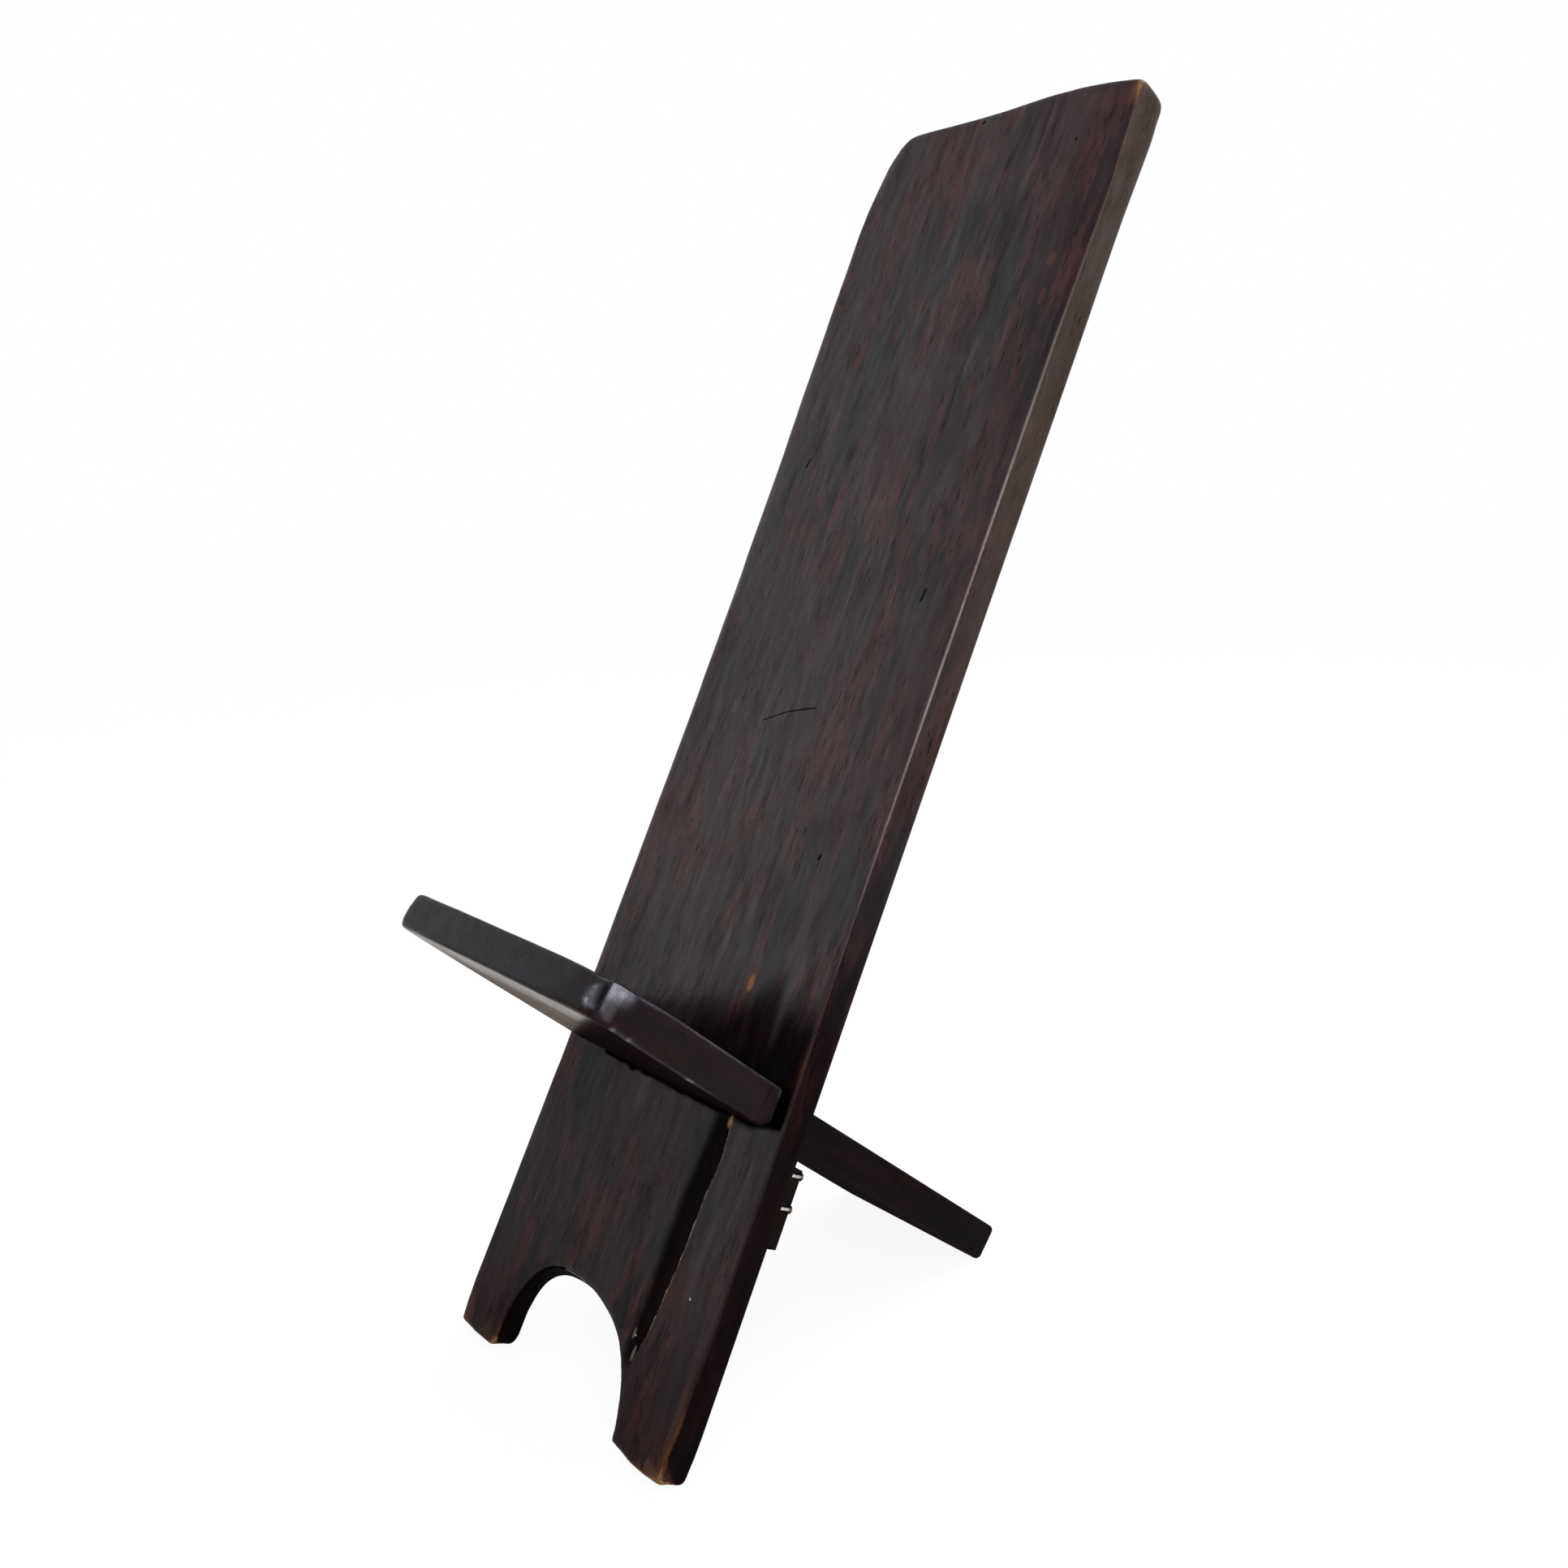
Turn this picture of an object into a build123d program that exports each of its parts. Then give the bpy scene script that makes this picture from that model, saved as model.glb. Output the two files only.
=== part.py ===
"""Two-plank reclining chair, of the kind used as a birthing or talking chair.

A long back plank leans on its two feet.  A seat plank is drawn down to a tongue behind its shoulders.
The tongue goes through a slot low in the back plank and reaches the floor behind it, and the sitter's
weight presses the shoulders against the back plank's front face.  A batten is nailed across the back
face, under the slot, to hold a split that runs from the slot to the foot arch.

Millimetres.  The sitter faces -Y, +Z is up, and X runs across both planks.  The origin is the middle
of the assembly's box, on the floor.
"""
import os
from math import atan2, cos, degrees, radians, sin

from build123d import *

# Back plank: a slab that leans backwards.
back_width = 271.5
back_length = 1078.0
back_thickness = 25.0
back_lean = 28.6            # degrees from upright
back_arris = 2.2            # rounding worn on the long edges

# The hewn outline of the back plank, which is not quite regular.
far_waist = 10.5            # how far the far side is hollowed at half height
far_shoulder_inset = 3.5    # how far the far side is still drawn in at its shoulder
far_shoulder_run = 80.0     # length of the tapering shoulder under the far top corner
far_shoulder_draw = 10.0    # how much that shoulder draws in over its length
near_bevel_run = 110.0      # length of the bevel hewn on the near side, under the top
near_bevel = 6.0            # how far the bevel sets the front arris back at the top
top_fall = 7.0              # how much lower the top edge is at its far end
far_top_corner = 20.0
near_top_corner = 13.0
foot_corner = 4.0
foot_rake = 3.0             # how much longer the feet are behind than in front

# Arch between the two feet.  It is cut almost level through the leaning plank, and opens to the back.
arch_height = 84.0
arch_crown_x = -24.0
arch_near_x = 76.0
arch_far_x = -84.0
arch_fullness = 0.6         # 0.55 is a quarter ellipse, 1 is square
arch_back_height = 71.5
arch_back_crown_x = -30.0
arch_back_near_x = 78.0
arch_back_far_x = -87.0
arch_back_fullness = 0.75

# Seat plank: a slab with shoulders and a tongue.
seat_width = 238.0          # across the shoulders
seat_front_width = 267.0    # across the front edge
seat_depth = 190.0          # from the back plank's face to the front edge, along the seat
seat_thickness = 31.0       # of the tongue, and of the seat at its shoulders
seat_front_thickness = 29.5
seat_height = 276.0         # up the back plank's front face, to the seat's top
seat_tilt = 13.1            # degrees that the front rises from square to the back plank
seat_offset = 4.0           # the seat's middle, across, from the back plank's middle
seat_arris = 2.5
seat_front_bulge = 1.5      # how far the front edge bows forward
seat_corner = 13.0
flute_depth = 1.4           # shallow flute cut in the front edge beside each corner
flute_radius = 26.0
flute_inset = 27.0          # from the seat's side to the middle of the flute

# Tongue and slot.
tongue_width = 160.0
tongue_tilt = 12.4          # degrees: the tongue rises a little against the seat
tongue_root = 6.0           # how far the tongue reaches into the seat
slot_side_clearance = 1.0
slot_face_clearance = 0.6
bearing_gap = 0.1           # between the seat's shoulders and the back plank's face
tail_end_corner = 5.0

# How much is worn off the edges that stand on the floor.
foot_wear = 1.5
tail_wear = 3.0

# Batten across the back face, under the slot.
cleat_height = 58.5
cleat_thickness = 10.0
cleat_drop = 19.0           # from the slot's lower edge, on the front face, to the batten's top
cleat_near_inset = 2.0
cleat_far_inset = 8.0
cleat_arris = 1.5

# Nails through the batten into the back plank.
nail_width = 2.3            # forged square in section
nail_length = 26.0
nail_point = 5.0
nail_tip = 0.8
nail_head_radius = 3.3
nail_head_height = 1.5
nail_head_sides = 6
nail_head_top = 1.0         # radius left flat on the hammered head
nail_row_inset = 4.5        # from the batten's top to the upper row
nail_row_pitch = 24.0
nail_end_inset = 0.2        # the near nails stand in the batten's end, so that their shanks show
nail_far_inset = 14.0
split_x = 80.0              # where the split crosses the batten
nail_split_inset = 16.0     # from the split to the nails on either side of it

# Derived angles and places.
lean = radians(back_lean)
tongue_rise = radians(back_lean + tongue_tilt)
tilt = radians(seat_tilt)
tongue_turn = radians(tongue_tilt)
near_side_x = back_width / 2
far_side_x = -back_width / 2
foot_z = foot_rake * cos(lean) - foot_wear
slot_low_y = seat_height - seat_thickness / cos(tongue_turn)
cleat_top_y = slot_low_y - cleat_drop
cleat_near_x = near_side_x - cleat_near_inset
cleat_far_x = far_side_x + cleat_far_inset

# The back plank's own frame: x across, y up the plank, z out of its front face, back face at z = 0.
back_plane = Plane(origin=(0, 0, foot_z), x_dir=(1, 0, 0), z_dir=(0, -cos(lean), sin(lean)))

# The seat's and the tongue's own frames, inside the back plank's, with one origin where the seat's top
# meets the back plank's face: x across, y towards the tail, z out of the top.
seat_origin = Vector(seat_offset, seat_height, back_thickness)
seat_in_back = Plane(origin=seat_origin, x_dir=(1, 0, 0), z_dir=(0, cos(tilt), -sin(tilt)))
tongue_in_back = Plane(
    origin=seat_origin, x_dir=(1, 0, 0), z_dir=(0, cos(tongue_turn), -sin(tongue_turn))
)

# The tail is as long as it takes its lower corner to reach the floor.
seat_origin_z = back_plane.from_local_coords(seat_origin).Z
tail_length = (seat_origin_z - seat_thickness * cos(tongue_rise) + tail_wear) / sin(tongue_rise)


def placed_in_back(shape):
    """Move a shape from the back plank's frame to the chair's."""
    return back_plane.location * shape


def placed_in_seat(shape):
    """Move a shape from the seat's frame to the back plank's."""
    return seat_in_back.location * shape


def placed_in_tongue(shape):
    """Move a shape from the tongue's frame to the back plank's."""
    return tongue_in_back.location * shape


def above_floor(shape):
    """Wear away whatever reaches below the floor."""
    return split(shape, bisect_by=Plane.XY, keep=Keep.TOP)


def arch_outline(crown_x, height, near_x, far_x, fullness):
    """One outline of the arch: two full curves that meet at the crown, on legs that run past the feet."""
    crown = (crown_x, height)
    near_foot = (near_x, 0)
    far_foot = (far_x, 0)
    near_over = (crown_x + fullness * (near_x - crown_x), height)
    far_over = (crown_x + fullness * (far_x - crown_x), height)
    with BuildSketch() as outline:
        with BuildLine():
            Bezier(far_foot, (far_x, fullness * height), far_over, crown)
            Bezier(crown, near_over, (near_x, fullness * height), near_foot)
            Polyline(near_foot, (near_x, -height), (far_x, -height), far_foot)
        make_face()
    return outline.sketch


def arch_cutter():
    """The arch's opening through the back plank, from its outline on the back to that on the front."""
    on_back = arch_outline(
        arch_back_crown_x, arch_back_height, arch_back_near_x, arch_back_far_x, arch_back_fullness
    )
    on_front = arch_outline(arch_crown_x, arch_height, arch_near_x, arch_far_x, arch_fullness)
    return loft([on_back, Pos(0, 0, back_thickness) * on_front], ruled=True)


def back_face():
    """The hewn outline of the back plank."""
    shoulder_y = back_length - far_shoulder_run
    far_shoulder_x = far_side_x + far_shoulder_inset
    far_top = (far_shoulder_x + far_shoulder_draw, back_length - top_fall)
    near_top = (near_side_x, back_length)
    far_foot = (far_side_x, -foot_rake)
    near_foot = (near_side_x, -foot_rake)
    with BuildSketch() as outline:
        with BuildLine():
            Line(near_foot, near_top)
            Spline(near_top, far_top, tangents=[(-1, 0), (-1, 0)])
            far_shoulder = Line(far_top, (far_shoulder_x, shoulder_y))
            waist = (far_side_x + far_waist, shoulder_y / 2)
            ThreePointArc(far_shoulder @ 1, waist, far_foot)
            Line(far_foot, near_foot)
        make_face()
        for corner, radius in (
            (far_top, far_top_corner),
            (near_top, near_top_corner),
            (far_foot, foot_corner),
            (near_foot, foot_corner),
        ):
            fillet(outline.vertices().sort_by_distance(corner)[:1], radius)
    return outline.sketch


def slot_cutter():
    """The slanting hole for the tongue, in the back plank's frame."""
    width = tongue_width + 2 * slot_side_clearance
    height = seat_thickness + 2 * slot_face_clearance
    reach = 4 * back_thickness
    hole = Pos(0, 0, -seat_thickness / 2) * Box(width, reach, height)
    return placed_in_tongue(hole)


def nail_places():
    """Where each nail goes through the batten, in the back plank's frame."""
    columns = (
        cleat_near_x - nail_end_inset,
        split_x + nail_split_inset,
        split_x - nail_split_inset,
        cleat_far_x + nail_far_inset,
    )
    upper_row = cleat_top_y - nail_row_inset
    return [(x, upper_row - row * nail_row_pitch) for x in columns for row in range(2)]


def nail_shank():
    """One nail's square shank with its tapered point, from the batten's back face forward."""
    straight = nail_length - nail_point
    shank = extrude(Rectangle(nail_width, nail_width), straight)
    point_taper = degrees(atan2((nail_width - nail_tip) / 2, nail_point))
    point = extrude(Rectangle(nail_width, nail_width), nail_point, taper=point_taper)
    return Pos(0, 0, -cleat_thickness) * (shank + Pos(0, 0, straight) * point)


def nail_shanks():
    """The shanks of all the nails, as the holes they fill."""
    return [Pos(x, y, 0) * nail_shank() for x, y in nail_places()]


def nail():
    """A forged nail: a low faceted head on the shank."""
    outline = RegularPolygon(nail_head_radius, nail_head_sides)
    head_taper = degrees(atan2(nail_head_radius - nail_head_top, nail_head_height))
    head = extrude(outline, nail_head_height, taper=head_taper)
    facing_back = Pos(0, 0, -cleat_thickness) * Rot(180, 0, 0)
    return nail_shank() + facing_back * head


def near_bevel_plane():
    """The plane of the bevel, which runs out at the back arris on top and at the front arris below."""
    low_front = Vector(near_side_x, back_length - near_bevel_run, back_thickness)
    top_front = Vector(near_side_x - near_bevel, back_length, back_thickness)
    top_back = Vector(near_side_x, back_length, 0)
    normal = (top_front - low_front).cross(top_back - low_front)
    if normal.X < 0:
        normal = -normal
    return Plane(origin=low_front, z_dir=normal)


def make_back_plank():
    """The back plank with its arch, slot and nail holes, leaning on its feet."""
    slab = extrude(back_face(), back_thickness)
    faces = slab.faces().sort_by(Axis.Z)
    arrises = faces[0].edges() + faces[-1].edges()
    plank = split(fillet(arrises, back_arris), bisect_by=near_bevel_plane(), keep=Keep.BOTTOM)
    foot_end = Plane(
        origin=(0, 0, back_thickness), x_dir=(1, 0, 0), z_dir=(0, back_thickness, -foot_rake)
    )
    plank = split(plank, bisect_by=foot_end, keep=Keep.TOP)
    plank -= arch_cutter()
    plank -= slot_cutter()
    for shank in nail_shanks():
        plank -= shank
    return above_floor(placed_in_back(plank))


def seat_face():
    """The seat's plan: wider in front, with a bowed front edge between rounded corners."""
    half_front = seat_front_width / 2
    flare = (seat_front_width - seat_width) / 2 / seat_depth
    overrun = seat_thickness
    half_end = seat_width / 2 - flare * overrun
    corner_y = seat_front_bulge - seat_depth
    with BuildSketch() as outline:
        with BuildLine():
            ThreePointArc((-half_front, corner_y), (0, -seat_depth), (half_front, corner_y))
            Polyline(
                (half_front, corner_y),
                (half_end, overrun),
                (-half_end, overrun),
                (-half_front, corner_y),
            )
        make_face()
        fillet(outline.vertices().group_by(Axis.Y)[0], seat_corner)
    return outline.sketch


def flute_cutters():
    """The two shallow flutes in the front edge, one beside each corner."""
    flute_x = seat_front_width / 2 - flute_inset
    flute_y = seat_front_bulge - seat_depth - flute_radius + flute_depth
    flute = Cylinder(flute_radius, 4 * seat_thickness)
    return [Pos(side * flute_x, flute_y, 0) * flute for side in (-1, 1)]


def make_seat_front():
    """The seat in front of its shoulders, hewn thinner to the front, in its own frame."""
    slab = extrude(seat_face(), -2 * seat_thickness)
    thinning = seat_thickness - seat_front_thickness
    underside = Plane(
        origin=(0, 0, -seat_thickness), x_dir=(1, 0, 0), z_dir=(0, thinning, seat_depth)
    )
    slab = split(slab, bisect_by=underside, keep=Keep.TOP)
    faces = slab.faces().sort_by(Axis.Z)
    rounded = fillet(faces[0].edges() + faces[-1].edges(), seat_arris)
    for flute in flute_cutters():
        rounded -= flute
    shoulders = Plane(
        origin=(0, -bearing_gap * cos(tilt), -bearing_gap * sin(tilt)),
        x_dir=(1, 0, 0),
        z_dir=(0, cos(tilt), sin(tilt)),
    )
    return split(rounded, bisect_by=shoulders, keep=Keep.BOTTOM)


def make_tongue():
    """The tongue, from its root in the seat to the end that stands on the floor, in its own frame."""
    bar = Pos(0, -tongue_root, 0) * Box(
        tongue_width,
        tail_length + tongue_root,
        seat_thickness,
        align=(Align.CENTER, Align.MIN, Align.MAX),
    )
    bar = fillet(bar.faces().sort_by(Axis.Y)[-1].edges().filter_by(Axis.X), tail_end_corner)
    sides = bar.faces().sort_by(Axis.X)
    return fillet(sides[0].edges() + sides[-1].edges(), seat_arris)


def make_seat_plank():
    """The seat: shoulders cut to lie flat on the back plank, and a tongue down to the floor."""
    plank = placed_in_seat(make_seat_front()) + placed_in_tongue(make_tongue())
    return above_floor(placed_in_back(plank))


def make_back_cleat():
    """The batten, with its outer edges eased and a hole for every nail."""
    length = cleat_near_x - cleat_far_x
    batten = Pos(cleat_far_x, cleat_top_y, 0) * Box(
        length, cleat_height, cleat_thickness, align=(Align.MIN, Align.MAX, Align.MAX)
    )
    outer_edges = batten.faces().sort_by(Axis.Z)[0].edges()
    batten = fillet(outer_edges, cleat_arris)
    for shank in nail_shanks():
        batten -= shank
    return placed_in_back(batten)


def make_cleat_nails():
    """Every nail, as separate solids in one node."""
    return placed_in_back(Compound(children=[Pos(x, y, 0) * nail() for x, y in nail_places()]))


nodes = {
    "back_plank": make_back_plank(),
    "seat_plank": make_seat_plank(),
    "back_cleat": make_back_cleat(),
    "cleat_nails": make_cleat_nails(),
}

boxes = [shape.bounding_box() for shape in nodes.values()]
front_y = min(box.min.Y for box in boxes)
rear_y = max(box.max.Y for box in boxes)
far_x = min(box.min.X for box in boxes)
near_x = max(box.max.X for box in boxes)
to_origin = Pos(-(far_x + near_x) / 2, -(front_y + rear_y) / 2, 0)

os.makedirs("parts", exist_ok=True)
for name, shape in nodes.items():
    export_step(to_origin * shape, f"parts/{name}.step")
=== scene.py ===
"""Looks of the two-plank chair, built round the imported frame.

Shapes are worked out in millimetres in each plank's own axes, and become metres in build(). Near is +X, the
side towards the camera, and far is -X.
"""

import math

import bmesh
import bpy
import numpy as np
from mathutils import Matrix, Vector

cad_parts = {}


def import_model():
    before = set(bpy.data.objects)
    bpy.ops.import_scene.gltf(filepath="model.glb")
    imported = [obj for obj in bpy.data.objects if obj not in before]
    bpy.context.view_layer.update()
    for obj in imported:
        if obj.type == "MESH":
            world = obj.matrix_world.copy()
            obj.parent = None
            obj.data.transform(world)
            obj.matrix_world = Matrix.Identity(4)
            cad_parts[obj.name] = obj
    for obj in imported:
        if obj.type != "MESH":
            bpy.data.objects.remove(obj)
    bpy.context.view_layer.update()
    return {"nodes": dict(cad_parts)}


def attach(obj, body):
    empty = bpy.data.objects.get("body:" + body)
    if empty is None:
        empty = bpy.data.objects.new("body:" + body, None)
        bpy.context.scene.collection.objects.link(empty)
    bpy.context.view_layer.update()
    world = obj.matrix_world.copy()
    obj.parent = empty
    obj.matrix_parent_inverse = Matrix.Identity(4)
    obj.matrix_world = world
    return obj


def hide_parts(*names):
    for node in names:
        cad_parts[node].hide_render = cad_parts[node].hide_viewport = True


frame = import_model()
nodes = frame["nodes"]

MM = 0.001
LEAN = math.radians(28.6)
TONGUE_RISE = math.radians(41.0)


class Place:
    """A plank's own axes: x across, y along the grain, z through the thickness."""

    def __init__(self, origin, along, up):
        self.origin = np.array(origin, float)
        across = np.cross(along, up)
        self.axes = np.array([across, along, up], float)

    def local(self, points):
        return (points / MM - self.origin) @ self.axes.T

    def world(self, points):
        return (points @ self.axes + self.origin) * MM


# The planks' own axes, as the CAD solids have them.
BACK = Place(
    (-0.628, -232.461, 1.134),
    (0.0, math.sin(LEAN), math.cos(LEAN)),
    (0.0, -math.cos(LEAN), math.sin(LEAN)),
)
SEAT = Place(
    (3.372, -122.29, 255.43),
    (0.0, math.cos(TONGUE_RISE), -math.sin(TONGUE_RISE)),
    (0.0, math.sin(TONGUE_RISE), math.cos(TONGUE_RISE)),
)


# ---------------------------------------------------------------- numbers and noise


# Numbers of the hash that value_noise is made of.
CELL_PRIMES = (73856093, 19349663, 83492791)
MIXERS = ((15, 2246822519), (13, 3266489917))
WORD = 0xFFFFFFFF
HALF_WORD = 0x7FFFFFFF


def smooth(low, high, value):
    """0 below low, 1 above high, smooth between."""
    t = np.clip((value - low) / (high - low), 0.0, 1.0)
    return t * t * (3.0 - 2.0 * t)


def bell(value, centre, width):
    """1 at the centre, falling away to both sides."""
    return np.exp(-(((value - centre) / width) ** 2))


def value_noise(points, seed):
    """Smooth noise from -1 to 1 with a period of about one unit, the same on every run."""
    cell = np.floor(points).astype(np.int64)
    part = points - cell
    part = part * part * (3.0 - 2.0 * part)
    total = np.zeros(len(points))
    for corner in range(8):
        step = np.array([corner & 1, corner >> 1 & 1, corner >> 2 & 1])
        at = cell + step
        key = seed * 2654435761
        for axis, prime in enumerate(CELL_PRIMES):
            key = key ^ at[:, axis] * prime
        key &= WORD
        for shift, factor in MIXERS:
            key = (key ^ key >> shift) * factor & WORD
        key ^= key >> 16
        weight = np.where(step, part, 1.0 - part).prod(axis=1)
        total += weight * (key / HALF_WORD - 1.0)
    return total


def waves(points, across, along, seed, octaves=2):
    """Noise stretched along the grain, with these wavelengths in millimetres."""
    scaled = points / np.array([across, along, across])
    total = np.zeros(len(points))
    for octave in range(octaves):
        total += value_noise(scaled * 2.0**octave + 17.3 * octave, seed + octave) * 0.5**octave
    return total / (2.0 - 0.5 ** (octaves - 1))


def blob(points, centre, radii):
    """1 at the centre, falling to 0 at these distances along x, y and z."""
    far = np.sqrt((((points - np.array(centre)) / np.array(radii)) ** 2).sum(axis=1))
    return 1.0 - smooth(0.0, 1.0, far)


# ---------------------------------------------------------------- dense meshes


class Warp:
    """Stretches an axis where a finer mesh is wanted. Stops are (place, cells per millimetre from there)."""

    def __init__(self, stops):
        self.at = np.array([s[0] for s in stops], float)
        rate = np.array([s[1] for s in stops], float)
        lengths = np.diff(self.at) * rate[:-1]
        self.to = np.concatenate([[0.0], np.cumsum(lengths)])

    def forward(self, value):
        return np.interp(value, self.at, self.to)

    def back(self, value):
        return np.interp(value, self.to, self.at)


def plugged(mesh, place, inside):
    """The node's mesh, welded, with the drilled holes closed. inside tells which points are in a hole."""
    bm = bmesh.new()
    bm.from_mesh(mesh)
    bmesh.ops.remove_doubles(bm, verts=bm.verts, dist=2e-6)
    if inside is not None:
        local = place.local(np.array([v.co for v in bm.verts]))
        deep = inside(local)
        bmesh.ops.delete(bm, geom=[v for v, d in zip(bm.verts, deep) if d], context="VERTS")
        bmesh.ops.holes_fill(bm, edges=[e for e in bm.edges if e.is_boundary], sides=0)
    bmesh.ops.triangulate(bm, faces=bm.faces)
    made = bpy.data.meshes.new("plugged")
    bm.to_mesh(made)
    bm.free()
    return made


def dense(node, place, warps, inside=None):
    """An even quad mesh of a CAD node: its points in the plank's own axes, and its faces."""
    mesh = plugged(nodes[node].data, place, inside)
    count = len(mesh.vertices)
    flat = np.empty(count * 3)
    mesh.vertices.foreach_get("co", flat)
    local = place.local(flat.reshape(-1, 3))
    warped = np.stack([warps[k].forward(local[:, k]) for k in range(3)], axis=1)
    mesh.vertices.foreach_set("co", warped.ravel())
    mesh.update()
    holder = bpy.data.objects.new("dense", mesh)
    bpy.context.scene.collection.objects.link(holder)
    remesh = holder.modifiers.new("remesh", "REMESH")
    remesh.mode = "VOXEL"
    remesh.voxel_size = 1.0
    remesh.adaptivity = 0.0
    graph = bpy.context.evaluated_depsgraph_get()
    result = bpy.data.meshes.new_from_object(holder.evaluated_get(graph))
    bpy.data.objects.remove(holder)
    count = len(result.vertices)
    flat = np.empty(count * 3)
    result.vertices.foreach_get("co", flat)
    warped = flat.reshape(-1, 3)
    local = np.stack([warps[k].back(warped[:, k]) for k in range(3)], axis=1)
    loops = np.empty(len(result.loops), int)
    result.loops.foreach_get("vertex_index", loops)
    return local, loops.reshape(-1, 4)


def face_normals(points, faces):
    corners = points[faces]
    return np.cross(corners[:, 2] - corners[:, 0], corners[:, 3] - corners[:, 1])


def point_normals(points, faces):
    normal = np.zeros_like(points)
    per_face = face_normals(points, faces)
    for k in range(4):
        np.add.at(normal, faces[:, k], per_face)
    length = np.linalg.norm(normal, axis=1, keepdims=True)
    return normal / np.maximum(length, 1e-9)


def smoothed(points, faces, rounds):
    """Points moved to the mean of their neighbours, over and over."""
    pairs = np.stack([faces.ravel(), np.roll(faces, -1, axis=1).ravel()], axis=1)
    share = np.zeros(len(points))
    np.add.at(share, pairs[:, 0], 1.0)
    np.add.at(share, pairs[:, 1], 1.0)
    moved = points.copy()
    for _ in range(rounds):
        total = np.zeros_like(points)
        np.add.at(total, pairs[:, 0], moved[pairs[:, 1]])
        np.add.at(total, pairs[:, 1], moved[pairs[:, 0]])
        moved = total / share[:, None]
    return moved


def softened(points, faces, amount, rounds):
    """Points eased towards their neighbours, each by its own amount, over and over."""
    moved = points.copy()
    for _ in range(rounds):
        moved += (smoothed(moved, faces, 1) - moved) * amount[:, None]
    return moved


def build(name, place, points, faces, grain, attributes, material):
    """The finished object, with its shader's attributes."""
    mesh = bpy.data.meshes.new(name)
    mesh.from_pydata(place.world(points).tolist(), [], faces.tolist())
    mesh.polygons.foreach_set("use_smooth", np.ones(len(faces), bool))
    layer = mesh.attributes.new("grain", "FLOAT_VECTOR", "POINT")
    layer.data.foreach_set("vector", (grain * MM).ravel())
    for label, values in attributes.items():
        layer = mesh.attributes.new(label, "FLOAT", "POINT")
        layer.data.foreach_set("value", values.astype(float))
    mesh.update()
    mesh.materials.append(material)
    made = bpy.data.objects.new(name, mesh)
    bpy.context.scene.collection.objects.link(made)
    return made


# ---------------------------------------------------------------- materials

MARK_FADE = 0.5  # millimetres of depth over which a mark fades out
RAGGEDNESS = 2.4  # how much the noise moves a spot's edge, in radii


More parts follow.
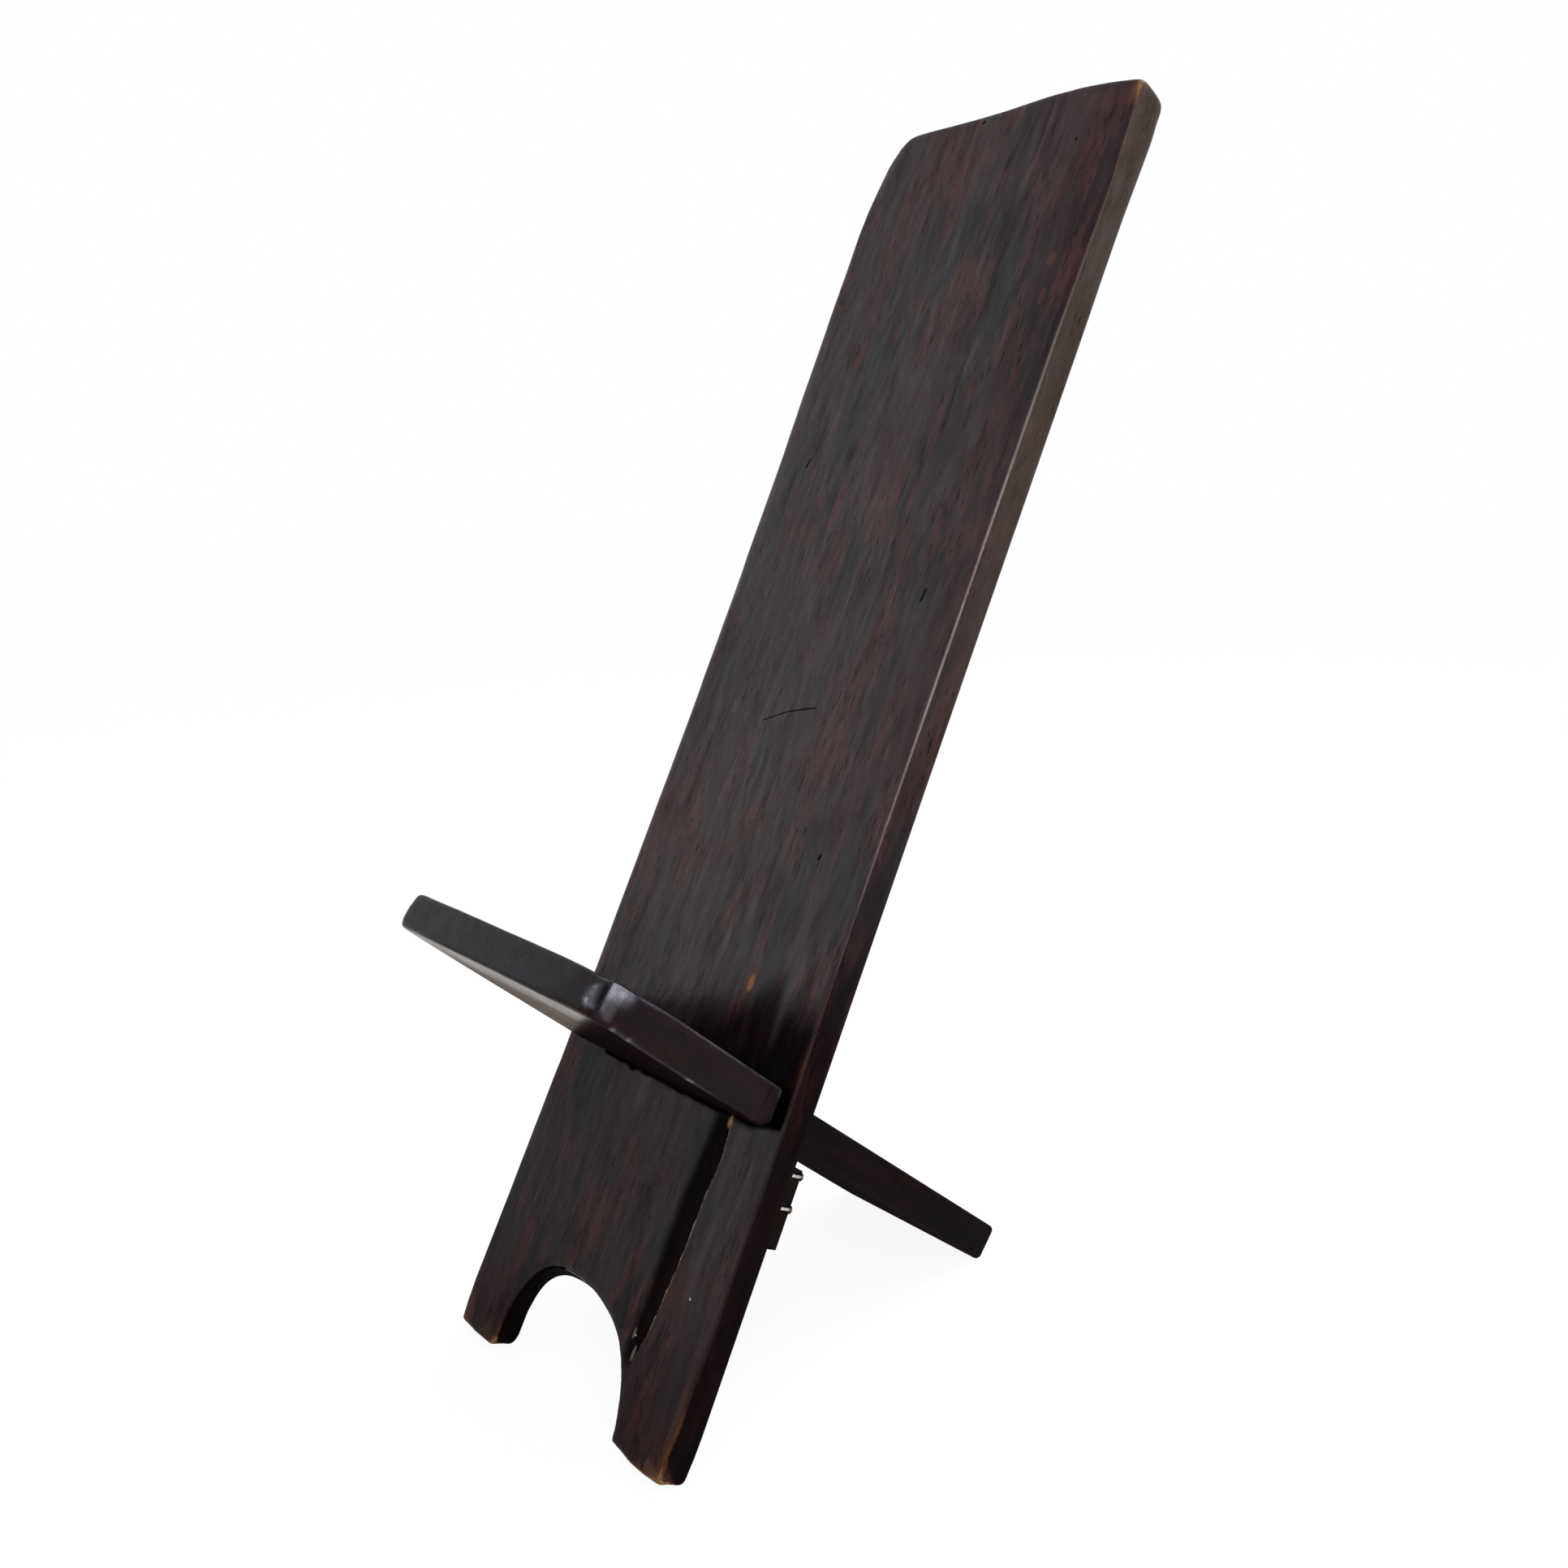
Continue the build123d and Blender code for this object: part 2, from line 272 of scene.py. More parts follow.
class Graph:
    """Short ways to write shader nodes."""

    def __init__(self, name):
        self.material = bpy.data.materials.new(name)
        self.material.use_nodes = True
        self.tree = self.material.node_tree
        self.shader = self.tree.nodes["Principled BSDF"]

    def put(self, socket, value):
        if isinstance(value, bpy.types.NodeSocket):
            self.tree.links.new(value, socket)
        else:
            socket.default_value = value

    def node(self, kind, settings=(), **inputs):
        made = self.tree.nodes.new(kind)
        for key, value in dict(settings).items():
            setattr(made, key, value)
        for key, value in inputs.items():
            self.put(made.inputs[key.replace("_", " ")], value)
        return made

    def attribute(self, name):
        made = self.tree.nodes.new("ShaderNodeAttribute")
        made.attribute_name = name
        return made

    def math(self, operation, first, second=None, third=None, clamp=False):
        made = self.tree.nodes.new("ShaderNodeMath")
        made.operation = operation
        made.use_clamp = clamp
        for k, value in enumerate((first, second, third)):
            if value is not None:
                self.put(made.inputs[k], value)
        return made.outputs[0]

    def ranged(self, value, low, high, to_low=0.0, to_high=1.0):
        made = self.tree.nodes.new("ShaderNodeMapRange")
        made.interpolation_type = "SMOOTHSTEP"
        for key, number in zip(
            ("Value", "From Min", "From Max", "To Min", "To Max"), (value, low, high, to_low, to_high)
        ):
            self.put(made.inputs[key], number)
        return made.outputs[0]

    def scaled(self, vector, scale, shift=(0.0, 0.0, 0.0), turn=0.0):
        made = self.tree.nodes.new("ShaderNodeMapping")
        made.vector_type = "POINT"
        self.put(made.inputs["Vector"], vector)
        made.inputs["Scale"].default_value = scale
        made.inputs["Rotation"].default_value = (0.0, 0.0, turn)
        made.inputs["Location"].default_value = shift
        return made.outputs[0]

    def parts(self, vector):
        made = self.node("ShaderNodeSeparateXYZ", Vector=vector)
        return made.outputs[0], made.outputs[1], made.outputs[2]

    def near_line(self, grain, start, end, width, z_low, taper=0.38):
        """1 on the straight mark from start to end, 0 beyond its width or below z_low."""
        x, y, z = self.parts(grain)
        run = np.subtract(end, start) * MM
        length = float(np.hypot(*run))
        ux, uy = (run / length).tolist()
        dx = self.math("SUBTRACT", x, start[0] * MM)
        dy = self.math("SUBTRACT", y, start[1] * MM)
        along = self.math("ADD", self.math("MULTIPLY", dx, ux), self.math("MULTIPLY", dy, uy))
        off = self.math("SUBTRACT", self.math("MULTIPLY", dx, uy), self.math("MULTIPLY", dy, ux))
        off = self.math("ABSOLUTE", off)
        beyond = self.math("ABSOLUTE", self.math("SUBTRACT", along, length / 2))
        inside = self.ranged(beyond, length * 0.5 + 0.2 * MM, length * taper)
        face = self.ranged(z, (z_low - MARK_FADE) * MM, z_low * MM)
        thin = self.ranged(off, width * MM, width * 0.3 * MM)
        return self.math("MULTIPLY", self.math("MULTIPLY", inside, thin), face)

    def near_spot(self, grain, centre, radii, z_low, ragged):
        """1 in a ragged oval patch on the face, 0 beyond it or below z_low."""
        x, y, z = self.parts(grain)
        dx = self.math("DIVIDE", self.math("SUBTRACT", x, centre[0] * MM), radii[0] * MM)
        dy = self.math("DIVIDE", self.math("SUBTRACT", y, centre[1] * MM), radii[1] * MM)
        squares = self.math("ADD", self.math("MULTIPLY", dx, dx), self.math("MULTIPLY", dy, dy))
        uneven = self.math("MULTIPLY", self.math("SUBTRACT", ragged, 0.5), RAGGEDNESS)
        far = self.math("ADD", self.math("SQRT", squares), uneven)
        face = self.ranged(z, (z_low - MARK_FADE) * MM, z_low * MM)
        return self.math("MULTIPLY", self.ranged(far, 1.0, 0.5), face)

    def noise(self, vector, detail=3.0, rough=0.55, distortion=0.0):
        shape = {"Detail": detail, "Roughness": rough, "Distortion": distortion}
        return self.node("ShaderNodeTexNoise", Vector=vector, Scale=1.0, **shape).outputs["Fac"]

    def mixed(self, factor, first, second, mode="MIX"):
        made = self.tree.nodes.new("ShaderNodeMix")
        made.data_type = "RGBA"
        made.blend_type = mode
        self.put(made.inputs["Factor"], factor)
        self.put(made.inputs["A"], first)
        self.put(made.inputs["B"], second)
        return [o for o in made.outputs if o.type == "RGBA"][0]

    def bump(self, height, distance, strength=1.0, normal=None):
        made = self.node("ShaderNodeBump", Height=height, Distance=distance, Strength=strength)
        if normal is not None:
            self.put(made.inputs["Normal"], normal)
        return made.outputs["Normal"]


def rgb(red, green, blue):
    return (red, green, blue, 1.0)


GRAIN_TURN = math.radians(-0.5)
LOOKS = ("edge", "wear", "gloss", "warm", "shade_and_tone", "olive_light", "shine", "under_light")

# Colours that all the woods share.
# painted olive light: on the near side's upper part, and on the seat's underside ahead of its shadow line
OLIVE_LIGHT = rgb(0.031, 0.0145, 0.0052)
PORE = rgb(0.0012, 0.0010, 0.0012)
CUT = rgb(0.0008, 0.0007, 0.0008)
WORN_STAIN = rgb(0.070, 0.027, 0.015)
BARE = (rgb(0.18, 0.070, 0.030), rgb(0.34, 0.185, 0.090))
TORN = (rgb(0.16, 0.075, 0.035), rgb(0.55, 0.42, 0.29))
# painted tan light on the seat's underside
UNDER_LIGHT_TAN = (rgb(0.135, 0.080, 0.048), rgb(0.250, 0.160, 0.098))


def wood(name, dark, brown, red, glint_tint, marks, contrast=1.0):
    """Dark stained, hand-polished hardwood.

    Reads grain (place in the plank) and LOOKS from the mesh: how far a point stands out, how worn, glossy and
    red-brown it is, how dark with painted shade, how much painted olive light and other painted light it has,
    and how much painted tan light is on the seat's underside.
    """
    g = Graph(name)
    flat = g.attribute("grain").outputs["Vector"]
    grain = g.scaled(flat, (1.0, 1.0, 1.0), turn=GRAIN_TURN)
    looks = [g.attribute(label).outputs["Fac"] for label in LOOKS]
    edge, wear, gloss, warm, shade_and_tone, olive_light, shine, under_light = looks

    def spread(value, amount):
        return g.math("MULTIPLY", g.math("SUBTRACT", value, 0.5), amount)

    patches = g.noise(g.scaled(grain, (24.0, 6.0, 30.0)), 2.0, 0.5)
    clouds = g.noise(g.scaled(grain, (55.0, 15.0, 60.0), (5.0, 2.0, 0.0)), 3.0, 0.55, 0.25)
    streaks = g.noise(g.scaled(grain, (95.0, 16.0, 80.0), (3.0, 1.0, 0.0)), 3.0, 0.5, 0.3)
    fine = g.noise(g.scaled(grain, (300.0, 48.0, 260.0), (0.0, 7.0, 2.0)), 2.0, 0.5)
    fibre = g.noise(g.scaled(grain, (780.0, 80.0, 700.0)), 2.0, 0.5)
    mottle = g.noise(g.scaled(grain, (110.0, 60.0, 110.0)), 4.0, 0.65)
    speckle = g.noise(g.scaled(grain, (900.0, 500.0, 900.0)), 2.0, 0.6)

    # the stain: dark to brown in patches, red in streaks, painted olive light, black pores,
    # then tone with painted shade, and painted light
    brownness = g.math("ADD", g.math("ADD", spread(patches, 3.0), spread(clouds, 2.4)), spread(streaks, 1.1))
    brownness = g.math("MULTIPLY", g.math("ADD", brownness, spread(fine, 0.45)), contrast)
    brownness = g.math("ADD", brownness, g.math("MULTIPLY_ADD", warm, 0.5, 0.5), clamp=True)
    colour = g.mixed(brownness, dark, brown)
    redness = g.math("ADD", g.math("MULTIPLY", streaks, 0.35), g.math("MULTIPLY", clouds, 0.65))
    redness = g.math("ADD", redness, g.math("MULTIPLY", warm, 0.05))
    redness = g.ranged(redness, 0.5, 0.68, 0.0, contrast)
    redness = g.math("MULTIPLY", redness, g.ranged(fine, 0.3, 0.65, 0.7, 1.0))
    colour = g.mixed(redness, colour, red)
    colour = g.mixed(olive_light, colour, OLIVE_LIGHT)
    cluster = g.math("MULTIPLY_ADD", g.ranged(clouds, 0.44, 0.56), 0.8, 0.2)
    pores = g.math("MULTIPLY", g.ranged(fibre, 0.32, 0.44, contrast, 0.0), cluster)
    colour = g.mixed(g.math("MULTIPLY", pores, 0.8), colour, PORE)
    colour = g.mixed(1.0, colour, shade_and_tone, "MULTIPLY")
    glint = g.math("MULTIPLY", shine, g.ranged(speckle, 0.25, 0.6, 0.55, 1.0))
    colour = g.mixed(glint, colour, glint_tint)

    # wear: first the stain rubbed brown, then bare wood
    rub = g.math("ADD", edge, spread(mottle, 1.2))
    rub = g.math("ADD", rub, g.math("MULTIPLY", wear, 0.8))
    rub = g.math("ADD", rub, spread(speckle, 0.4))
    stained_edge = g.math("MULTIPLY", g.ranged(rub, 0.7, 1.2), g.ranged(wear, 0.0, 0.5, 0.10, 0.9))
    colour = g.mixed(stained_edge, colour, WORN_STAIN)
    bare = g.mixed(g.ranged(speckle, 0.36, 0.6), *BARE)
    rubbed = g.math("MULTIPLY", g.ranged(rub, 1.15, 1.6), g.ranged(wear, 0.05, 0.7, 0.0, 1.0))
    colour = g.mixed(rubbed, colour, bare)

    ragged = g.math("ADD", g.math("MULTIPLY", mottle, 0.5), g.math("MULTIPLY", fine, 0.5))
    torn = g.mixed(g.ranged(speckle, 0.36, 0.58), *TORN)
    cuts = None
    for kind, *spec in marks:
        if kind == "cut":
            mark = g.near_line(flat, *spec)
            colour = g.mixed(g.math("MULTIPLY", mark, 0.85), colour, CUT)
            cuts = mark if cuts is None else g.math("MAXIMUM", cuts, mark)
        elif kind == "lip":
            mark = g.near_line(flat, *spec, taper=0.5)
            splinter = g.math("MULTIPLY", mark, g.ranged(ragged, 0.38, 0.50, 0.5, 1.0))
            colour = g.mixed(splinter, colour, torn)
        else:
            centre, radii, low, strength, tint = spec
            mark = g.near_spot(flat, centre, radii, low, ragged)
            colour = g.mixed(g.math("MULTIPLY", mark, strength), colour, tint)
    # painted tan light on the seat's underside
    under_light_tan = g.mixed(g.ranged(fine, 0.3, 0.7), *UNDER_LIGHT_TAN)
    under_light_amount = g.math("MULTIPLY", under_light, g.ranged(streaks, 0.3, 0.65, 0.55, 1.0))
    g.put(g.shader.inputs["Base Color"], g.mixed(under_light_amount, colour, under_light_tan))

    # the polish is a coat, broken up along the grain and lost in pores, cuts and bare wood
    g.put(g.shader.inputs["Roughness"], g.ranged(streaks, 0.3, 0.7, 0.5, 0.65))
    g.shader.inputs["Specular IOR Level"].default_value = 0.0
    g.shader.inputs["Coat Roughness"].default_value = 0.2
    g.shader.inputs["Coat IOR"].default_value = 1.5
    sheen = g.math("ADD", g.math("ADD", spread(clouds, -0.7), spread(streaks, 0.9)), spread(fine, 0.7))
    sheen = g.math("MULTIPLY", gloss, g.math("MULTIPLY_ADD", sheen, contrast, 1.0))
    sheen = g.math("MULTIPLY", sheen, g.math("SUBTRACT", 1.0, g.math("MULTIPLY", pores, 0.38)))
    if cuts is not None:
        sheen = g.math("MULTIPLY", sheen, g.math("SUBTRACT", 1.0, g.math("MULTIPLY", cuts, 0.9)))
    unrubbed = g.math("SUBTRACT", 1.0, g.math("MULTIPLY", rubbed, 0.5))
    g.put(g.shader.inputs["Coat Weight"], g.math("MULTIPLY", sheen, unrubbed, clamp=True))

    relief = g.math("ADD", g.math("MULTIPLY", fibre, 0.5), g.math("MULTIPLY", fine, 0.8))
    if cuts is not None:
        relief = g.math("SUBTRACT", relief, g.math("MULTIPLY", cuts, 1.5))
    g.put(g.shader.inputs["Normal"], g.bump(mottle, 0.0006, 0.5, g.bump(relief, 0.00022)))
    g.put(g.shader.inputs["Coat Normal"], g.bump(mottle, 0.0005, 0.5, g.bump(relief, 0.00014)))
    return g.material


NAIL_ROWS = (220.8, 196.8)  # the rows' places along the back plank
SHANK_BRIGHT = rgb(0.72, 0.71, 0.68)
SHANK_DULL = rgb(0.40, 0.34, 0.28)
SHANK_RUST = rgb(0.05, 0.035, 0.028)
HEAD_DARK = rgb(0.030, 0.024, 0.022)
HEAD_BROWN = rgb(0.075, 0.045, 0.032)


def along_back(g, place, axis):
    """How far a point lies along one of the back plank's axes, in metres."""
    dot = g.node("ShaderNodeVectorMath", {"operation": "DOT_PRODUCT"})
    g.put(dot.inputs[0], place)
    dot.inputs[1].default_value = BACK.axes[axis].tolist()
    return g.math("SUBTRACT", dot.outputs["Value"], float(BACK.origin @ BACK.axes[axis]) * MM)


def iron(name):
    """Forged nail: the shank bright along its middle and rusty beside it, the head behind the batten dark."""
    g = Graph(name)
    place = g.node("ShaderNodeTexCoord").outputs["Object"]
    blotch = g.noise(g.scaled(place, (700.0, 700.0, 700.0)), 3.0, 0.6)
    shank = g.mixed(g.ranged(blotch, 0.4, 0.65), SHANK_BRIGHT, SHANK_DULL)
    head = g.mixed(g.ranged(blotch, 0.4, 0.65), HEAD_DARK, HEAD_BROWN)
    headed = g.ranged(along_back(g, place, 2), -9.6 * MM, -10.2 * MM)
    at = along_back(g, place, 1)
    off = g.math("MINIMUM", *[g.math("ABSOLUTE", g.math("SUBTRACT", at, y * MM)) for y in NAIL_ROWS])
    shank = g.mixed(g.ranged(off, 0.7 * MM, 1.2 * MM), shank, SHANK_RUST)
    g.put(g.shader.inputs["Base Color"], g.mixed(headed, shank, head))
    g.put(g.shader.inputs["Metallic"], g.math("MULTIPLY_ADD", headed, -0.6, 0.85))
    g.put(g.shader.inputs["Roughness"], g.ranged(blotch, 0.35, 0.65, 0.3, 0.55))
    g.put(g.shader.inputs["Normal"], g.bump(blotch, 0.0003, 0.6))
    return g.material


ORANGE = rgb(0.27, 0.095, 0.038)
TAN = rgb(0.36, 0.21, 0.11)
RUST = rgb(0.075, 0.022, 0.014)
RUBBED_RED = rgb(0.12, 0.035, 0.02)
RUBBED_BROWN = rgb(0.12, 0.04, 0.025)
RUBBED_TAN = rgb(0.12, 0.05, 0.02)
PALE = rgb(0.60, 0.52, 0.44)
FOOT_BROWN = rgb(0.085, 0.036, 0.022)
FOOT_TAN = rgb(0.15, 0.065, 0.032)
TIP_RED = rgb(0.085, 0.030, 0.024)
TIP_TAN = rgb(0.17, 0.075, 0.032)

# A mark shows where the plank's z is above one of these: on the face, in the split or at the slot's corner.
FACE_Z = 24.0
SPLIT_Z = FACE_Z - 4.0
SLOT_CORNER_Z = FACE_Z - 7.0

# A cut or a lip: start, end, width, lowest z. A spot: centre, radii, lowest z, strength, colour.
BACK_MARKS = (
    ("cut", (-34.3, 532.8), (-4.0, 545.5), 0.9, FACE_Z),
    ("cut", (-8.0, 544.0), (23.9, 551.5), 1.1, FACE_Z),
    ("cut", (-90.5, 752.0), (-88.0, 762.0), 1.6, FACE_Z),
    ("cut", (91.0, 644.0), (93.0, 656.0), 1.6, FACE_Z),
    ("cut", (84.0, 1029.5), (85.2, 1032.0), 1.6, FACE_Z),
    ("cut", (-25.5, 1064.3), (-22.8, 1066.4), 1.9, FACE_Z),
    ("cut", (79.5, 438.0), (81.0, 443.0), 2.2, FACE_Z),
    ("spot", (55.9, 335.6), (3.4, 8.5), FACE_Z, 0.95, ORANGE),
    ("spot", (101.9, 925.8), (6.0, 6.5), FACE_Z, 0.5, RUBBED_RED),
    ("spot", (105.0, 895.0), (3.0, 8.0), FACE_Z, 0.4, RUBBED_BROWN),
    ("spot", (110.0, 526.0), (3.0, 10.0), FACE_Z, 0.45, RUBBED_TAN),
    ("spot", (-9.0, 1034.0), (4.0, 12.0), FACE_Z, 0.45, RUST),
    ("spot", (15.9, 924.6), (14.0, 16.0), FACE_Z, 0.4, RUST),
    ("spot", (-131.0, 6.0), (10.0, 24.0), FACE_Z, 0.4, FOOT_BROWN),
    ("spot", (-96.0, -1.0), (13.0, 14.0), FACE_Z, 0.3, FOOT_BROWN),
    ("spot", (125.0, -2.0), (17.0, 14.0), FACE_Z, 0.45, FOOT_TAN),
    ("spot", (131.0, 34.0), (4.5, 50.0), FACE_Z, 0.3, FOOT_BROWN),
    ("spot", (98.0, -4.0), (30.0, 9.0), FACE_Z, 0.4, FOOT_BROWN),
    ("spot", (106.0, 1060.0), (34.0, 12.0), FACE_Z, 0.3, TIP_RED),
    ("spot", (129.0, 1062.0), (7.0, 12.0), FACE_Z, 0.25, TIP_TAN),
    ("spot", (104.2, 116.0), (0.9, 1.3), FACE_Z, 0.95, PALE),
    ("spot", (66.4, 72.3), (0.8, 1.2), FACE_Z, 0.8, PALE),
    ("spot", (83.6, 239.0), (4.0, 6.0), SLOT_CORNER_Z, 0.85, TAN),
    ("lip", (72.7, 56.0), (77.6, 78.5), 1.4, SPLIT_Z),
    ("lip", (77.6, 78.5), (79.5, 110.8), 1.5, SPLIT_Z),
    ("lip", (79.5, 110.8), (82.6, 146.2), 1.7, SPLIT_Z),
    ("lip", (82.6, 146.2), (83.9, 179.8), 1.8, SPLIT_Z),
    ("lip", (83.9, 179.8), (87.0, 214.4), 1.7, SPLIT_Z),
    ("lip", (87.0, 214.4), (84.3, 240.0), 2.0, SPLIT_Z),
    ("spot", (64.5, 73.0), (1.2, 5.0), SPLIT_Z, 0.22, PALE),
    ("spot", (70.0, 60.0), (1.4, 6.0), SPLIT_Z, 0.18, PALE),
)

BACK_WOOD = wood(
    "back_wood",
    dark=rgb(0.0050, 0.0031, 0.0056),
    brown=rgb(0.0235, 0.0080, 0.0104),
    red=rgb(0.054, 0.0160, 0.0160),
    glint_tint=rgb(0.36, 0.285, 0.285),
    marks=BACK_MARKS,
)
SEAT_WOOD = wood(
    "seat_wood",
    dark=rgb(0.0030, 0.0052, 0.0090),
    brown=rgb(0.0130, 0.0050, 0.0062),
    red=rgb(0.034, 0.0085, 0.0090),
    glint_tint=rgb(0.52, 0.52, 0.64),
    marks=(),
    contrast=0.45,
)
CLEAT_WOOD = wood(
    "cleat_wood",
    dark=rgb(0.0050, 0.0036, 0.0034),
    brown=rgb(0.0160, 0.0085, 0.0072),
    red=rgb(0.036, 0.012, 0.009),
    glint_tint=rgb(0.3, 0.25, 0.2),
    marks=(),
)
NAIL_IRON = iron("nail_iron")


# ---------------------------------------------------------------- the back plank

ARRIS_ROUNDS = 7
ARRIS_HEIGHT = 0.9  # how far a sharp arris stands out from its smoothed neighbours
BACK_THICK = 25.0
SLOT_LOW_Y = 244.3
SLOT_X = (-77.0, 85.0)
SLOT_WALL = -31.25  # the slot's lower wall in the seat's axes, just under the tongue

# How far the shown plank departs from the CAD solid, in millimetres.
FAR_ARRIS_OUT = 2.2
NEAR_REAR_ARRIS_OUT = 0.9
NEAR_TOP_OUT = 2.6
NEAR_TOP_DOWN = 5.0
TOP_BOW = 4.2
SOLE_DOWN, SOLE_FRONT_DOWN = 1.0, 2.2
ARCH_FOOT_UP = 2.0  # the near foot's corner in the arch
ARCH_WALL_IN = 3.4
SPLIT_DEPTH = 2.4
SPLIT_LIP = 0.5
CHIP_DEPTH = 1.2

# Corners that are rounded more than the rest: place across the feet, and reach.
FOOT_CORNERS = ((134.0, 20.0), (80.0, 24.0), (-82.0, 10.0), (-132.0, 18.0))

# Tables of (place along the plank, value). SPLIT and HOLLOW give the x of the split, and of the far side of
# the hollow beside it.
SPLIT = (
    (53.1, 72.7), (78.5, 77.6), (110.8, 79.5), (146.2, 82.6), (179.8, 83.9), (214.4, 87.6), (244.8, 84.3),
)
HOLLOW = (
    (49.5, 58.5), (79.7, 58.0), (140.1, 56.8), (171.4, 57.6), (196.8, 60.5), (227.0, 63.0), (244.0, 64.0),
)
FACE_GLOSS = (
    (0, 0.18), (60, 0.26), (110, 0.37), (240, 0.40), (300, 0.66), (480, 0.78), (640, 0.72), (800, 0.68),
    (930, 0.575), (1078, 0.47),
)
FACE_TONE = ((0, 0.55), (90, 0.75), (240, 0.8), (330, 1.0))
SIDE_GLOSS = (
    (0, 0.05), (250, 0.06), (320, 0.09), (400, 0.30), (520, 0.55), (640, 0.68), (800, 0.78), (1000, 0.80),
)
# Painted shade low on the near side, and painted olive light on its upper part.
SIDE_SHADE = ((0, 0.22), (280, 0.28), (400, 0.55), (520, 0.9), (640, 1.0))
SIDE_OLIVE_LIGHT = ((430, 0.0), (640, 0.45), (760, 0.75), (960, 0.9))
ARRIS_WEAR = (
    (0, 0.8), (40, 0.6), (60, 0.7), (78, 0.2), (230, 0.15), (300, 0.7), (345, 0.7), (365, 0.2), (480, 0.4),
    (560, 0.3), (640, 0.0), (960, 0.1), (1010, 0.6), (1060, 0.9),
)
# The painted highlight along the near front arris.
ARRIS_HIGHLIGHT = (
    (330, 0.05), (420, 0.12), (470, 0.35), (560, 0.72), (600, 0.85), (660, 0.62), (740, 0.85), (780, 0.75),
    (840, 0.45), (900, 0.28), (980, 0.15), (1060, 0.2),
)
ARRIS_IN = (
    (0, 2.6), (20, 2.5), (40, -0.2), (60, 0.2), (90, -1.3), (245, -1.3), (262, -0.6), (300, 0.6), (340, 1.3),
    (400, 2.6), (860, 2.6), (990, 0.0),
)
# The seat's painted shadow and reflection on the plank above it: its depth along the plank,
# and its upper edge by place across.
SEAT_SHADE_DEPTH = ((240, 1.0), (262, 0.96), (285, 0.78), (300, 0.71), (330, 0.70))
SEAT_SHADE_TOP = (
    (0, 298), (20, 301), (45, 308), (60, 320), (72, 336), (86, 352), (92, 348), (104, 332), (116, 332),
    (133, 332),
)
# The light streak of painted reflection that runs down into it.
STREAK_X = ((290.0, 96.0), (326.0, 96.2), (357.0, 95.6))
STREAK_WIDTH = ((285.0, 2.2), (305.0, 3.2), (325.0, 5.0), (345.0, 6.5), (365.0, 9.0))

# Worn corners and edges: centre, radii, how much.
WORN_PLACES = (
    ((130.0, 1068.0, 25.0), (22.0, 24.0, 18.0), 1.35),
    ((110.0, 1052.0, 25.0), (46.0, 30.0, 12.0), 0.45),
    ((134.0, -2.0, 22.0), (24.0, 30.0, 20.0), 1.6),
    ((112.0, -6.0, 22.0), (40.0, 16.0, 14.0), 1.5),
    ((-131.0, 3.0, 24.0), (24.0, 44.0, 18.0), 1.1),
    ((-90.0, 0.0, 25.0), (16.0, 26.0, 12.0), 0.65),
    ((-105.0, -5.0, 22.0), (40.0, 12.0, 12.0), 0.9),
    ((134.0, 1020.0, 25.0), (7.0, 34.0, 8.0), 0.95),
    ((134.0, 26.0, 25.0), (6.0, 60.0, 7.0), 0.95),
    ((72.0, 62.0, 25.0), (9.0, 26.0, 14.0), 0.5),
    ((-40.0, 1076.0, 24.0), (80.0, 8.0, 10.0), 0.3),
)


def along(table, y):
    """A value read off a table of (place along the plank, value)."""
    places, values = zip(*table)
    return np.interp(y, places, values)


def edgeness(points, faces, normal):
    """How far each point stands out from the points round it: about 1 on an arris, 0 on a face."""
    soft = smoothed(points, faces, ARRIS_ROUNDS)
    return np.clip(((points - soft) * normal).sum(axis=1) / ARRIS_HEIGHT, 0.0, 1.5)


